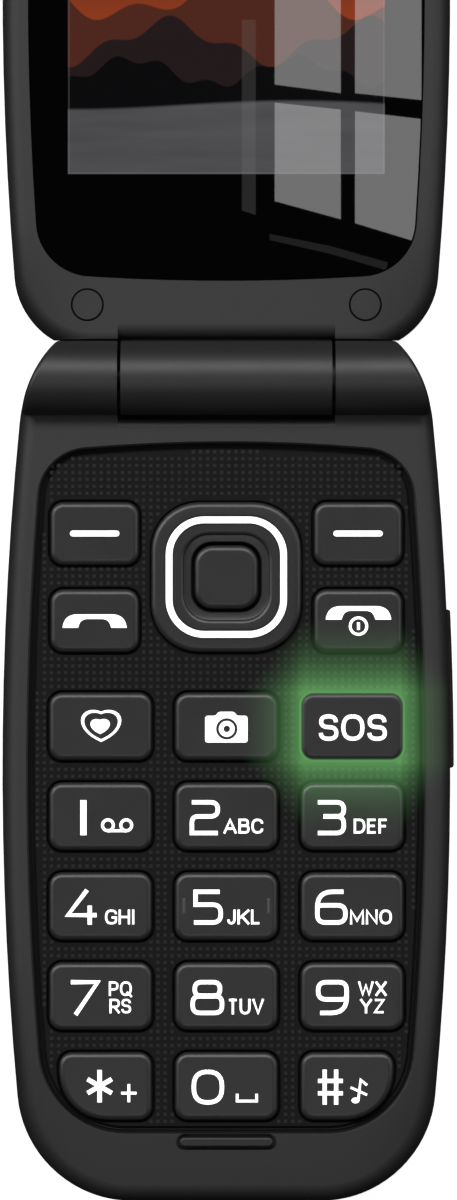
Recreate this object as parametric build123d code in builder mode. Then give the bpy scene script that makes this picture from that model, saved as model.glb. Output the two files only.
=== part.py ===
from build123d import *

import os
from dataclasses import dataclass
from math import sqrt

# A clamshell mobile phone, opened flat. The hinge axis runs along X, straight above the origin.
# The base lies on its rear cover at z = 0 and reaches towards -Y; the lid reaches towards +Y with
# its display up. A reach is a distance from the hinge axis. Lengths are in millimetres.
LID = 1
BASE = -1

# Outline of both halves, seen from above
body_width = 52.0
side_radius = 410.0
widest_reach = 45.5
half_length = 95.45
far_corner_radius = 13.4
lid_corner_radius = 9.0
lid_tuck = 1.2
shoulder_radius = 16.0
shoulder_overreach = 9.4
trim_overrun = 4.0

# Heights of both halves, and the rolled edge around their faces
base_thickness = 11.6
lid_thickness = 7.8
closed_gap = 0.8
rim_width = 3.0
rim_roll = 1.9
window_chamfer = 0.2

# Hinge barrel
barrel_radius = 4.3
base_knuckle_room = 13.8
knuckle_gap = 0.4
lid_edge_gap = 0.25
base_edge_gap = 0.4
base_edge_roll = 0.9
knuckle_roll = 0.5
knuckle_inset = 0.15
web_drop = 1.7
neck_roll = 1.7
heel_reach = 4.2
heel_lip_lap = 0.65
heel_lip_gap = 0.4
knuckle_bore = 5.2
knuckle_end_wall = 1.2
seat_clearance = 0.02
running_clearance = 0.05
cartridge_room = 9.4
cartridge_setback = 0.2
shaft_diameter = 3.0
shaft_flats = 2.2
shaft_in_base = 5.4
shaft_in_lid = 6.0
bush_wall = 0.5
bush_in_lid = 4.2
bush_in_base = 3.2

# Flex cable, rolled up around the hinge axis and led into each half
coil_diameter = 3.4
flex_thickness = 0.3
flex_width = 3.2
flex_clearance = 0.35
flex_meeting_gap = 0.05
flex_overlap = 0.9
flex_drop = 3.1
base_flex_reach = 10.7
lid_flex_reach = 13.9

# Lid shells
lid_cover_height = 4.2
lid_wall = 1.3
lid_cover_floor = 1.1
lid_back_roll = 2.2
lid_cavity_near = 12.6
lid_cavity_radius = 3.0

# Display lens and the ledge that carries it
lens_near = 11.25
lens_brow = 7.5
lens_near_radius = 6.5
lens_far_radius = 10.0
lens_bow_radius = 250.0
lens_thickness = 1.0
lens_bed = 0.1
lens_sink = 0.05
lens_gap = 0.08
lens_chamfer = 0.12
ledge_thickness = 0.8

# Display module and the board behind it
lcd_near = 15.3
lcd_side_room = 4.65
lcd_end_room = 19.4
lcd_glass = 1.2
lcd_driver_ledge = 5.0
lcd_driver_step = 0.5
lcd_gap = 0.1
lcd_clearance = 0.3
lcd_corner = 0.6
backlight_thickness = 1.0
backlight_inset = 0.2
lid_board_inset = 2.35
lid_board_end_room = 3.0
lid_board_thickness = 0.8
lid_board_corner = 1.5

# Earpiece
earpiece_setback = 14.0
earpiece_width = 11.0
earpiece_length = 7.0
earpiece_height = 2.1
earpiece_corner = 2.0
sound_slot_width = 10.0
sound_slot_height = 1.6
mesh_lap = 0.7
mesh_thickness = 0.3
mesh_clearance = 0.05
mesh_hole = 0.5
mesh_pitch = 0.8
mesh_columns = 11
mesh_rows = 2

# Lid screws under their round caps
cap_side_room = 9.9
cap_reach = 8.5
cap_diameter = 3.6
cap_thickness = 0.8
cap_gap = 0.06
cap_edge = 0.12
lid_screw_head = 2.9
lid_screw_head_height = 0.9
lid_screw_shank = 1.6
lid_screw_bite = 2.2
lid_screw_clearance = 0.1
thread_clearance = 0.03
lid_boss_wall = 1.1

# Camera
camera_setback = 11.0
camera_window_diameter = 6.8
camera_window_thickness = 0.8
camera_window_gap = 0.06
camera_hole = 4.8
camera_body = 7.0
camera_body_height = 2.0
camera_body_corner = 0.8
camera_barrel = 4.4
camera_barrel_height = 0.2

# Base shells
base_wall = 1.3
base_top_wall = 1.2
cover_height = 2.2
cover_floor = 1.1
cover_roll = 1.9
keypad_near = 7.5
chin_length = 7.95
keypad_near_radius = 5.8
keypad_far_radius = 10.0
keypad_bow_radius = 190.0
rear_floor = 0.6
split_lip = 0.55

# Keypad panel, mat and dome sheet
panel_recess = 0.65
panel_thickness = 0.9
panel_lap = 0.8
panel_edge = 0.15
moat_width = 0.7
seat_gap = 0.05
mat_near = 12.3
mat_margin = 1.9
mat_corner = 2.0
mat_thickness = 0.5
nub_diameter = 2.4
nub_gap = 0.05
film_thickness = 0.1
dome_base_diameter = 4.4
dome_top_diameter = 2.8
dome_rise = 0.2

# Keys
key_side_room = 2.48
key_end_room = 5.48
key_column_gap = 2.67
key_row_gap = 2.57
key_rows = 5
key_columns = 3
key_corner = 1.5
key_edge = 0.45
key_rise = 0.75
first_row_reach = 40.34
corner_key_trim = 1.15
corner_key_flat = 2.25
soft_key_length = 7.3
soft_key_inset = 0.145
soft_key_gap = 1.425
soft_key_reach = 18.0
call_key_reach = 28.1
key_clearance = 0.2
key_flange_lap = 0.55
key_flange_thickness = 0.55
key_travel = 0.35
key_float = 0.1
tick_inset = 1.05
tick_width = 0.45
tick_length = 1.9
tick_height = 0.15

# Navigation ring, its light ring and pad, and the OK key inside
nav_reach = 23.05
nav_size = 17.4
nav_corner = 5.56
nav_rise = 0.85
nav_edge = 0.5
nav_flange_lap = 0.35
nav_flange_drop = 0.45
nav_flange_thickness = 0.55
nav_dish_size = 10.4
nav_dish_depth = 0.5
nav_hole = 8.1
nav_hole_corner = 2.4
light_ring_size = 14.07
light_ring_corner = 4.45
light_ring_width = 0.81
light_ring_depth = 0.4
light_ring_gap = 0.02
ok_size = 7.36
ok_corner = 2.1
ok_flange_lap = 0.85
ok_flange_thickness = 0.55
ok_flange_drop = 0.35
pad_size = 15.0
pad_corner = 4.0
pad_thickness = 0.5
pad_drop = 0.3
pad_hole = 10.0
pad_hole_corner = 2.6
nav_clearance = 0.6
pad_nub_diameter = 2.0
pad_nub_offset = 5.9
pad_nub_gap = 0.3

# Volume rocker in the right side wall
rocker_reach = 36.0
rocker_length = 18.4
rocker_height = 2.1
rocker_proud = 0.45
rocker_clearance = 0.15
rocker_edge = 0.35
rocker_flange_lap = 0.7
rocker_flange_gap = 0.35
rocker_flange_thickness = 0.6
rocker_nub_length = 0.9
rocker_nub_width = 2.0
rocker_nub_offset = 5.5
switch_depth = 1.5
switch_width = 3.0
switch_height = 1.2
switch_gap = 0.3

# Rubber bar on which the closed lid rests
stop_setback = 7.0
stop_slot_width = 11.6
stop_slot_height = 1.85
stop_slot_depth = 0.8
stop_clearance = 0.33
stop_rise = 0.55
stop_edge = 0.3
sound_hole = 1.0

# Main board, battery and what is mounted around them
board_near = 9.2
board_end_gap = 3.0
board_corner = 3.0
board_thickness = 0.8
board_gap = 0.1
board_clearance = 0.1
battery_side_room = 9.0
battery_end_room = 12.0
battery_stack_room = 7.5
battery_near = 33.0
battery_corner = 1.2
battery_gap = 0.12
battery_clearance = 0.3
bay_near = 9.4
bay_far = 29.2
bay_side_room = 6.8
bay_corner = 1.0
end_bay_length = 9.8
contact_width = 9.0
contact_length = 3.0
contact_height = 2.8
contact_clearance = 0.1
leaf_count = 3
leaf_width = 1.0
leaf_pitch = 2.5
leaf_height = 1.6
leaf_reach = 0.55
shield_middle_gap = 2.0
shield_side_gap = 0.8
shield_length = 17.6
shield_height = 1.6
shield_wall = 0.2
shield_corner = 0.8
shield_reach = 19.2
speaker_middle_gap = 2.5
speaker_side_gap = 1.7
speaker_length = 9.6
speaker_board_gap = 1.69
speaker_corner = 2.0
speaker_reach = 14.8
speaker_cone_rim = 1.2
speaker_cone_depth = 0.5
speaker_slots = 5
speaker_slot_width = 7.0
speaker_slot_height = 0.8
speaker_slot_pitch = 1.7
card_middle_gap = 2.2
card_side_gap = 1.4
card_length = 8.4
card_height = 1.5
card_slot_height = 0.8
card_slot_wall = 1.2
card_reach = 24.6
usb_width = 8.94
usb_height = 3.26
usb_wall = 0.3
usb_depth = 7.3
usb_inner_depth = 6.2
usb_tongue_width = 6.69
usb_tongue_height = 0.7
usb_tongue_length = 5.0
usb_setback = 0.4
usb_clearance = 0.1
microphone_diameter = 4.0
microphone_height = 1.2
motor_diameter = 7.0
motor_height = 2.2
motor_port_gap = 3.03
motor_setback = 5.7
antenna_port_gap = 3.03
antenna_side_room = 9.7
antenna_length = 5.2
antenna_height = 2.4
antenna_setback = 5.9
antenna_corner = 0.6
led_width = 1.6
led_length = 0.9
led_height = 0.6
led_offset = 4.6
led_clearance = 0.15

# Screws that hold the two base shells together
boss_diameter = 3.8
boss_inset = 2.5
boss_near = 10.2
boss_end_room = 15.0
base_screw_head = 3.0
base_screw_head_height = 1.0
base_screw_shank = 1.6
base_screw_seat = 2.0
base_screw_bite = 2.0
base_screw_clearance = 0.1

# Lid sizes worked out from the sizes above
lid_knuckle_length = body_width - 2 * base_knuckle_room
cartridge_length = lid_knuckle_length - cartridge_room
lens_far = half_length - lens_brow
lcd_width = body_width - 2 * lcd_side_room
lcd_length = half_length - lcd_near - lcd_end_room
lid_board_width = lcd_width - 2 * lid_board_inset
lid_board_length = lcd_near + lcd_length - lid_board_end_room - lid_cavity_near
earpiece_reach = half_length - earpiece_setback
camera_reach = half_length - camera_setback
cap_spacing = body_width - 2 * cap_side_room

# Keypad sizes worked out from the sizes above
keypad_far = half_length - chin_length
stop_reach = half_length - stop_setback
keys_edge = body_width / 2 - rim_width - key_side_room
key_width = (2 * keys_edge - (key_columns - 1) * key_column_gap) / key_columns
key_column_pitch = key_width + key_column_gap
key_row_pitch = (keypad_far - key_end_room - first_row_reach) / (key_rows - 1)
key_length = key_row_pitch - key_row_gap
corner_key_radius = min(key_length, key_width - corner_key_trim - key_corner) - corner_key_flat
tick_offset = key_width / 2 - tick_inset
soft_key_start = nav_size / 2 + soft_key_gap
soft_key_width = keys_edge - soft_key_inset - soft_key_start
soft_key_column = soft_key_start + soft_key_width / 2

# Sizes inside the base, worked out from the sizes above
board_far = half_length - board_end_gap
battery_width = body_width - 2 * battery_side_room
battery_length = half_length - battery_near - battery_end_room
bay_width = body_width - 2 * bay_side_room
end_bay_near = half_length - end_bay_length
shield_width = bay_width / 2 - shield_middle_gap - shield_side_gap
shield_offset = shield_middle_gap + shield_width / 2
speaker_width = bay_width / 2 - speaker_middle_gap - speaker_side_gap
speaker_offset = speaker_middle_gap + speaker_width / 2
card_width = bay_width / 2 - card_middle_gap - card_side_gap
card_offset = card_middle_gap + card_width / 2
motor_offset = usb_width / 2 + motor_port_gap + motor_diameter / 2
motor_reach = half_length - motor_setback
antenna_start = usb_width / 2 + antenna_port_gap
antenna_width = body_width / 2 - antenna_side_room - antenna_start
antenna_offset = antenna_start + antenna_width / 2
antenna_reach = half_length - antenna_setback
boss_far = half_length - boss_end_room

# Heights worked out from the sizes above
face = base_thickness
hinge_height = face + closed_gap / 2
lid_edge = barrel_radius + lid_edge_gap
base_edge = barrel_radius + base_edge_gap
base_knuckle_start = lid_knuckle_length / 2 + knuckle_gap
lid_back = face - lid_thickness
lid_split = lid_back + lid_cover_height
lens_floor = face - lens_sink - lens_thickness - lens_bed
ledge_bottom = lens_floor - ledge_thickness
panel_top = face - panel_recess
panel_bottom = panel_top - panel_thickness
flange_top = panel_bottom - seat_gap
mat_top = flange_top - key_flange_thickness - key_travel - key_float
mat_bottom = mat_top - mat_thickness
nav_bottom = panel_bottom - nav_flange_drop - nav_flange_thickness
pad_top = nav_bottom - pad_drop
pad_bottom = pad_top - pad_thickness
battery_thickness = base_thickness - battery_stack_room
rear_floor_bottom = cover_floor + battery_thickness + battery_gap + battery_gap
rear_floor_top = rear_floor_bottom + rear_floor
base_split = rear_floor_top + split_lip
board_bottom = rear_floor_top + board_gap
board_top = board_bottom + board_thickness
dome_top = board_top + film_thickness + dome_rise
bush_start = lid_knuckle_length / 2 - bush_in_lid
bush_end = base_knuckle_start + bush_in_base
base_bore_end = bush_end + flex_width + knuckle_end_wall / 2


@dataclass
class Key:
    """One key: its name, centre, size, and the side whose lower corner follows the panel."""

    name: str
    x: float
    reach: float
    width: float
    length: float
    cut_side: int = 0


def keypad_keys():
    """The keys that press straight down, in rows from the hinge end."""
    keys = []
    for name, side, reach in (
        ("soft_key_left", -1, soft_key_reach),
        ("soft_key_right", 1, soft_key_reach),
        ("call_key", -1, call_key_reach),
        ("end_key", 1, call_key_reach),
    ):
        keys.append(Key(name, side * soft_key_column, reach, soft_key_width, soft_key_length))
    rows = (
        ("favourite_key", "camera_key", "sos_key"),
        ("key_1", "key_2", "key_3"),
        ("key_4", "key_5", "key_6"),
        ("key_7", "key_8", "key_9"),
        ("key_star", "key_0", "key_hash"),
    )
    for row, names in enumerate(rows):
        reach = first_row_reach + row * key_row_pitch
        for column, name in zip((-1, 0, 1), names):
            cut = column if name in ("key_star", "key_hash") else 0
            trim = abs(cut) * corner_key_trim
            x = column * key_column_pitch - cut * trim / 2
            keys.append(Key(name, x, reach, key_width - trim, key_length, cut))
    return keys


KEYS = keypad_keys()


def half_width(reach):
    """Half of the body's width at a reach from the hinge axis."""
    return body_width / 2 - side_radius + sqrt(side_radius**2 - (reach - widest_reach) ** 2)


def flask(side, inset, near, far, near_radius, far_radius, bow_radius=None):
    """The waisted body outline, set in from the sides and ended at two reaches."""
    start = near if bow_radius is None else near - trim_overrun
    with BuildSketch() as outline:
        with Locations((0, side * (start + far) / 2)):
            Rectangle(body_width + trim_overrun, far - start)
        for x in (body_width / 2 - side_radius, side_radius - body_width / 2):
            with Locations((x, side * widest_reach)):
                Circle(side_radius - inset, mode=Mode.INTERSECT)
        if bow_radius is not None:
            with Locations((0, side * (near + bow_radius))):
                Circle(bow_radius, mode=Mode.INTERSECT)
        fillet(outline.vertices().sort_by(lambda corner: side * corner.Y)[:2], near_radius)
        fillet(outline.vertices().sort_by(lambda corner: side * corner.Y)[-2:], far_radius)
    return outline.sketch


def lid_flask(inset):
    """The lid's outline with its near corners carried past its edge, set in on every side."""
    return flask(
        LID,
        inset,
        lid_edge - lid_tuck + inset,
        half_length - inset,
        lid_corner_radius - inset,
        far_corner_radius - inset,
    )


def lid_outline(inset):
    """The lid's outline, cut straight across at its edge beside the hinge."""
    start = lid_edge + inset
    far = half_length - inset
    with BuildSketch() as outline:
        add(lid_flask(inset))
        with Locations((0, (start + far) / 2)):
            Rectangle(body_width, far - start, mode=Mode.INTERSECT)
    return outline.sketch


def shoulder_outline(inset):
    """The base's outline with its shoulders carried past the hinge axis."""
    return flask(
        BASE,
        inset,
        inset - shoulder_overreach,
        half_length - inset,
        shoulder_radius - inset,
        far_corner_radius - inset,
    )


def base_outline(inset, near=base_edge):
    """The base's outline, cut straight across at a reach near the hinge axis."""
    start = near + inset
    far = half_length - inset
    with BuildSketch() as outline:
        add(shoulder_outline(inset))
        with Locations((0, -(start + far) / 2)):
            Rectangle(body_width, far - start, mode=Mode.INTERSECT)
    return outline.sketch


def lens_outline(inset):
    """The display lens's outline in the lid's rim."""
    return flask(
        LID,
        rim_width + inset,
        lens_near + inset,
        lens_far - inset,
        lens_near_radius - inset,
        lens_far_radius - inset,
        lens_bow_radius - inset,
    )


def keypad_outline(inset):
    """The keypad opening's outline in the base's rim."""
    return flask(
        BASE,
        rim_width + inset,
        keypad_near + inset,
        keypad_far - inset,
        keypad_near_radius - inset,
        keypad_far_radius - inset,
        keypad_bow_radius - inset,
    )


def mat_outline():
    """The outline shared by the keypad mat and the dome sheet."""
    return flask(
        BASE,
        rim_width + mat_margin,
        mat_near,
        keypad_far - mat_margin,
        mat_corner,
        keypad_far_radius - mat_margin,
    )


def key_face(key, grow=0.0):
    """A key's outline, grown on every side."""
    with BuildSketch() as outline:
        with Locations((key.x, -key.reach)):
            Rectangle(key.width + 2 * grow, key.length + 2 * grow)
        corners = outline.vertices().sort_by(Axis.X)
        lowest = outline.vertices().sort_by(Axis.Y)[:2].sort_by(Axis.X)
        if key.cut_side:
            cut = lowest[0] if key.cut_side < 0 else lowest[-1]
            rest = [corner for corner in corners if corner.center() != cut.center()]
            fillet(rest, key_corner + grow)
            edge = outline.vertices().sort_by(lambda corner: corner.Y - key.cut_side * corner.X)[:1]
            fillet(edge, corner_key_radius + grow)
        else:
            fillet(corners, key_corner + grow)
    return outline.sketch


def nav_square(size, corner):
    """A rounded square around the middle of the navigation ring."""
    with BuildSketch() as outline:
        with Locations((0, -nav_reach)):
            RectangleRounded(size, size, corner)
    return outline.sketch


def end_bay_outline():
    """The bay between the battery and the base's far end wall."""
    with BuildSketch() as outline:
        add(base_outline(base_wall))
        with Locations((0, -end_bay_near)):
            Rectangle(body_width, half_length, align=(Align.CENTER, Align.MAX), mode=Mode.INTERSECT)
    return outline.sketch


def boss_places():
    """The four places where the base shells are screwed together."""
    places = []
    for reach in (boss_near, boss_far):
        for side in (-1, 1):
            places.append((side * (half_width(reach) - boss_inset), -reach))
    return places


def cap_places():
    """The two places of the lid's screws."""
    return [(side * cap_spacing / 2, cap_reach) for side in (-1, 1)]


def lid_flex_x():
    """The middle of the lid flex's ribbon along the hinge axis."""
    start = cartridge_length + cartridge_setback - lid_knuckle_length / 2
    return start + flex_clearance + flex_clearance + flex_width / 2


def base_flex_x():
    """The middle of the base flex's ribbon along the hinge axis."""
    return bush_end + flex_clearance / 2 + flex_width / 2


def save(piece, name):
    """Label a finished piece and write it as a STEP file."""
    piece.label = name
    export_step(piece, f"parts/{name}.step")


def slab(sketch, bottom, top):
    """A plate with the given outline between two heights."""
    with BuildPart() as plate:
        with BuildSketch(Plane.XY.offset(bottom)):
            add(sketch)
        extrude(amount=top - bottom)
    return plate.part


def taper_slab(low, high, bottom, top):
    """A plate that runs straight from one outline to another between two heights."""
    with BuildPart() as plate:
        with BuildSketch(Plane.XY.offset(bottom)):
            add(low)
        with BuildSketch(Plane.XY.offset(top)):
            add(high)
        loft(ruled=True)
    return plate.part


def edge_waste(y, z, roll, length):
    """What is cut off to roll a top edge along x, or a lower edge where the roll is negative."""
    side = Align.MAX if roll > 0 else Align.MIN
    with BuildPart() as waste:
        with BuildSketch(Plane.YZ):
            with Locations((y, z)):
                Rectangle(abs(roll), abs(roll), align=(Align.MIN, side))
            with Locations((y + abs(roll), z - roll)):
                Circle(abs(roll), mode=Mode.SUBTRACT)
        extrude(amount=length / 2, both=True)
    return waste.part


def make_lid_frame():
    """Lid frame: rolled rim, lens seat, display opening and the middle hinge knuckle."""
    with BuildPart() as lid_frame:
        with BuildSketch(Plane.XY.offset(lid_split)):
            add(lid_flask(0))
        extrude(amount=face - lid_split)
        fillet(lid_frame.faces().sort_by(Axis.Z)[-1].edges(), rim_roll)
        with BuildSketch(Plane.XY.offset(lid_split)):
            Rectangle(body_width, lid_edge, align=(Align.CENTER, Align.MIN))
        extrude(amount=face - lid_split, mode=Mode.SUBTRACT)
        add(edge_waste(lid_edge, face, neck_roll, 2 * base_knuckle_start), mode=Mode.SUBTRACT)
        with BuildSketch(Plane.YZ):
            with Locations((0, hinge_height)):
                Circle(barrel_radius)
            with Locations((0, lid_split)):
                Rectangle(lid_edge + lid_wall, face - web_drop - lid_split, align=(Align.MIN, Align.MIN))
        extrude(amount=lid_knuckle_length / 2, both=True)
        with BuildSketch(Plane.YZ):
            with Locations((0, hinge_height)):
                Circle(knuckle_bore / 2)
        extrude(amount=lid_knuckle_length / 2, both=True, mode=Mode.SUBTRACT)
        add(slab(lens_outline(0), lens_floor, face), mode=Mode.SUBTRACT)
        cavity = flask(
            LID,
            lid_wall,
            lid_cavity_near,
            half_length - lid_wall,
            lid_cavity_radius,
            far_corner_radius - lid_wall,
        )
        add(slab(cavity, lid_split, ledge_bottom), mode=Mode.SUBTRACT)
        with BuildSketch(Plane.XY.offset(ledge_bottom)):
            with Locations((0, lcd_near + lcd_length / 2)):
                RectangleRounded(lcd_width + 2 * lcd_clearance, lcd_length + 2 * lcd_clearance, lcd_corner)
            with Locations((0, earpiece_reach)):
                SlotOverall(sound_slot_width, sound_slot_height)
        extrude(amount=ledge_thickness, mode=Mode.SUBTRACT)
        with BuildSketch(Plane.XY.offset(lens_floor)):
            with Locations((0, earpiece_reach)):
                SlotOverall(
                    sound_slot_width + 2 * (mesh_lap + mesh_clearance),
                    sound_slot_height + 2 * (mesh_lap + mesh_clearance),
                )
        extrude(amount=-mesh_thickness, mode=Mode.SUBTRACT)
        with Locations(*[(x, y, face) for x, y in cap_places()]):
            CounterBoreHole(
                lid_screw_shank / 2 + lid_screw_clearance,
                cap_diameter / 2 + cap_gap,
                cap_thickness + lid_screw_head_height,
                face - lid_split,
            )
        with BuildSketch(Plane.XY.offset(hinge_height)):
            with Locations((lid_flex_x(), coil_diameter / 2 - flex_thickness / 2)):
                Rectangle(flex_width + 2 * flex_clearance, flex_thickness + 2 * flex_clearance)
        extrude(amount=-flex_drop - flex_clearance, mode=Mode.SUBTRACT)
        with BuildSketch(Plane.XZ.offset(-coil_diameter / 2 + flex_thickness / 2)):
            with Locations((lid_flex_x(), hinge_height - flex_drop + flex_thickness / 2)):
                Rectangle(flex_width + 2 * flex_clearance, flex_thickness + 2 * flex_clearance)
        extrude(amount=-lid_cavity_near, mode=Mode.SUBTRACT)
    save(lid_frame.part, "lid_frame")


def make_lid_cover():
    """Outer cover of the lid: a tray with screw bosses and the camera's seat."""
    with BuildPart() as lid_cover:
        with BuildSketch(Plane.XY.offset(lid_back)):
            add(lid_flask(0))
        extrude(amount=lid_cover_height)
        fillet(lid_cover.faces().sort_by(Axis.Z)[0].edges(), lid_back_roll)
        with BuildSketch(Plane.XY.offset(lid_back)):
            Rectangle(body_width, lid_edge, align=(Align.CENTER, Align.MIN))
        extrude(amount=lid_cover_height, mode=Mode.SUBTRACT)
        add(edge_waste(lid_edge, lid_back, -lid_back_roll, body_width), mode=Mode.SUBTRACT)
        add(slab(lid_outline(lid_wall), lid_back + lid_cover_floor, lid_split), mode=Mode.SUBTRACT)
        with BuildSketch(Plane.XY.offset(lid_back + lid_cover_floor)):
            with Locations(*cap_places()):
                Circle(lid_screw_shank / 2 + thread_clearance + lid_boss_wall)
        extrude(amount=lid_cover_height - lid_cover_floor)
        with Locations(*[(x, y, lid_split) for x, y in cap_places()]):
            Hole(lid_screw_shank / 2 + thread_clearance, lid_screw_bite + thread_clearance)
        with BuildSketch(Plane.XY.offset(lid_back)):
            with Locations((0, camera_reach)):
                Circle(camera_window_diameter / 2 + camera_window_gap)
        extrude(amount=camera_window_thickness, mode=Mode.SUBTRACT)
        with BuildSketch(Plane.XY.offset(lid_back)):
            with Locations((0, camera_reach)):
                Circle(camera_hole / 2)
        extrude(amount=lid_cover_floor, mode=Mode.SUBTRACT)
    save(lid_cover.part, "lid_cover")


def make_display():
    """Display lens, LCD panel, backlight and the lid's board."""
    with BuildPart() as display_lens:
        with BuildSketch(Plane.XY.offset(face - lens_sink - lens_thickness)):
            add(lens_outline(lens_gap))
            with Locations((0, earpiece_reach)):
                SlotOverall(sound_slot_width, sound_slot_height, mode=Mode.SUBTRACT)
        extrude(amount=lens_thickness)
        chamfer(display_lens.faces().sort_by(Axis.Z)[-1].outer_wire().edges(), lens_chamfer)
    save(display_lens.part, "display_lens")

    lcd_top = face - lens_sink - lens_thickness - lcd_gap
    lcd_middle = lcd_near + lcd_length / 2
    with BuildPart() as lcd_panel:
        with BuildSketch(Plane.XY.offset(lcd_top - lcd_glass)):
            with Locations((0, lcd_middle)):
                Rectangle(lcd_width, lcd_length)
        extrude(amount=lcd_glass)
        with BuildSketch(Plane.XY.offset(lcd_top)):
            with Locations((0, lcd_near)):
                Rectangle(lcd_width, lcd_driver_ledge, align=(Align.CENTER, Align.MIN))
        extrude(amount=-lcd_driver_step, mode=Mode.SUBTRACT)
    save(lcd_panel.part, "lcd_panel")

    backlight_top = lcd_top - lcd_glass
    with BuildPart() as lcd_backlight:
        with BuildSketch(Plane.XY.offset(backlight_top - backlight_thickness)):
            with Locations((0, lcd_middle)):
                RectangleRounded(
                    lcd_width - 2 * backlight_inset,
                    lcd_length - 2 * backlight_inset,
                    lcd_corner,
                )
        extrude(amount=backlight_thickness)
    save(lcd_backlight.part, "lcd_backlight")

    with BuildPart() as lid_board:
        with BuildSketch(Plane.XY.offset(backlight_top - backlight_thickness - lid_board_thickness)):
            with Locations((0, lid_cavity_near + lid_board_length / 2)):
                RectangleRounded(lid_board_width, lid_board_length, lid_board_corner)
        extrude(amount=lid_board_thickness)
    save(lid_board.part, "lid_board")


def make_earpiece():
    """Earpiece under the ledge and the mesh in front of it."""
    with BuildPart() as earpiece:
        with BuildSketch(Plane.XY.offset(ledge_bottom - earpiece_height)):
            with Locations((0, earpiece_reach)):
                RectangleRounded(earpiece_width, earpiece_length, earpiece_corner)
        extrude(amount=earpiece_height)
    save(earpiece.part, "earpiece")

    with BuildPart() as earpiece_mesh:
        with BuildSketch(Plane.XY.offset(lens_floor - mesh_thickness)):
            with Locations((0, earpiece_reach)):
                SlotOverall(sound_slot_width + 2 * mesh_lap, sound_slot_height + 2 * mesh_lap)
                with GridLocations(mesh_pitch, mesh_pitch, mesh_columns, mesh_rows):
                    Circle(mesh_hole / 2, mode=Mode.SUBTRACT)
        extrude(amount=mesh_thickness)
    save(earpiece_mesh.part, "earpiece_mesh")


def make_lid_fasteners():
    """The lid's two screws and the caps that hide them."""
    head_bottom = face - cap_thickness - lid_screw_head_height
    with BuildPart() as lid_screws:
        with BuildSketch(Plane.XY.offset(head_bottom)):
            with Locations(*cap_places()):
                Circle(lid_screw_head / 2)
        extrude(amount=lid_screw_head_height - cap_gap)
        with BuildSketch(Plane.XY.offset(head_bottom)):
            with Locations(*cap_places()):
                Circle(lid_screw_shank / 2)
        extrude(amount=lid_split - lid_screw_bite - head_bottom)
    save(lid_screws.part, "lid_screws")

    with BuildPart() as screw_caps:
        with BuildSketch(Plane.XY.offset(face - cap_thickness)):
            with Locations(*cap_places()):
                Circle(cap_diameter / 2)
        extrude(amount=cap_thickness)
        chamfer(screw_caps.faces().group_by(Axis.Z)[-1].edges(), cap_edge)
    save(screw_caps.part, "screw_caps")


def make_camera():
    """Camera module inside the lid's outer cover and the window in front of it."""
    with BuildPart() as camera_module:
        with BuildSketch(Plane.XY.offset(lid_back + lid_cover_floor)):
            with Locations((0, camera_reach)):
                RectangleRounded(camera_body, camera_body, camera_body_corner)
        extrude(amount=camera_body_height)
        with BuildSketch(Plane.XY.offset(lid_back + lid_cover_floor)):
            with Locations((0, camera_reach)):
                Circle(camera_barrel / 2)
        extrude(amount=-camera_barrel_height)
    save(camera_module.part, "camera_module")

    with BuildPart() as camera_window:
        with BuildSketch(Plane.XY.offset(lid_back)):
            with Locations((0, camera_reach)):
                Circle(camera_window_diameter / 2)
        extrude(amount=camera_window_thickness)
    save(camera_window.part, "camera_window")


def make_hinge():
    """Spring cartridge in the lid's knuckle, the shaft it turns on, and the hollow pivot bush."""
    lid_end = -lid_knuckle_length / 2
    with BuildPart() as hinge_cartridge:
        with BuildSketch(Plane.YZ.offset(lid_end + cartridge_setback)):
            with Locations((0, hinge_height)):
                Circle(knuckle_bore / 2 - seat_clearance)
        extrude(amount=cartridge_length)
        with BuildSketch(Plane.YZ.offset(lid_end)):
            with Locations((0, hinge_height)):
                Circle(shaft_diameter / 2 + running_clearance)
        extrude(amount=shaft_in_lid + knuckle_gap, mode=Mode.SUBTRACT)
    save(hinge_cartridge.part, "hinge_cartridge")

    with BuildPart() as hinge_shaft:
        with BuildSketch(Plane.YZ.offset(-base_knuckle_start)):
            with Locations((0, hinge_height)):
                Circle(shaft_diameter / 2)
        extrude(amount=shaft_in_lid)
        with BuildSketch(Plane.YZ.offset(-base_knuckle_start)):
            with Locations((0, hinge_height)):
                Circle(shaft_diameter / 2)
                Rectangle(shaft_diameter, shaft_flats, mode=Mode.INTERSECT)
        extrude(amount=-shaft_in_base)
    save(hinge_shaft.part, "hinge_shaft")

    with BuildPart() as pivot_bush:
        with BuildSketch(Plane.YZ.offset(bush_start)):
            with Locations((0, hinge_height)):
                Circle(knuckle_bore / 2 - running_clearance)
                Circle(knuckle_bore / 2 - running_clearance - bush_wall, mode=Mode.SUBTRACT)
        extrude(amount=bush_end - bush_start)
    save(pivot_bush.part, "pivot_bush")


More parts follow.
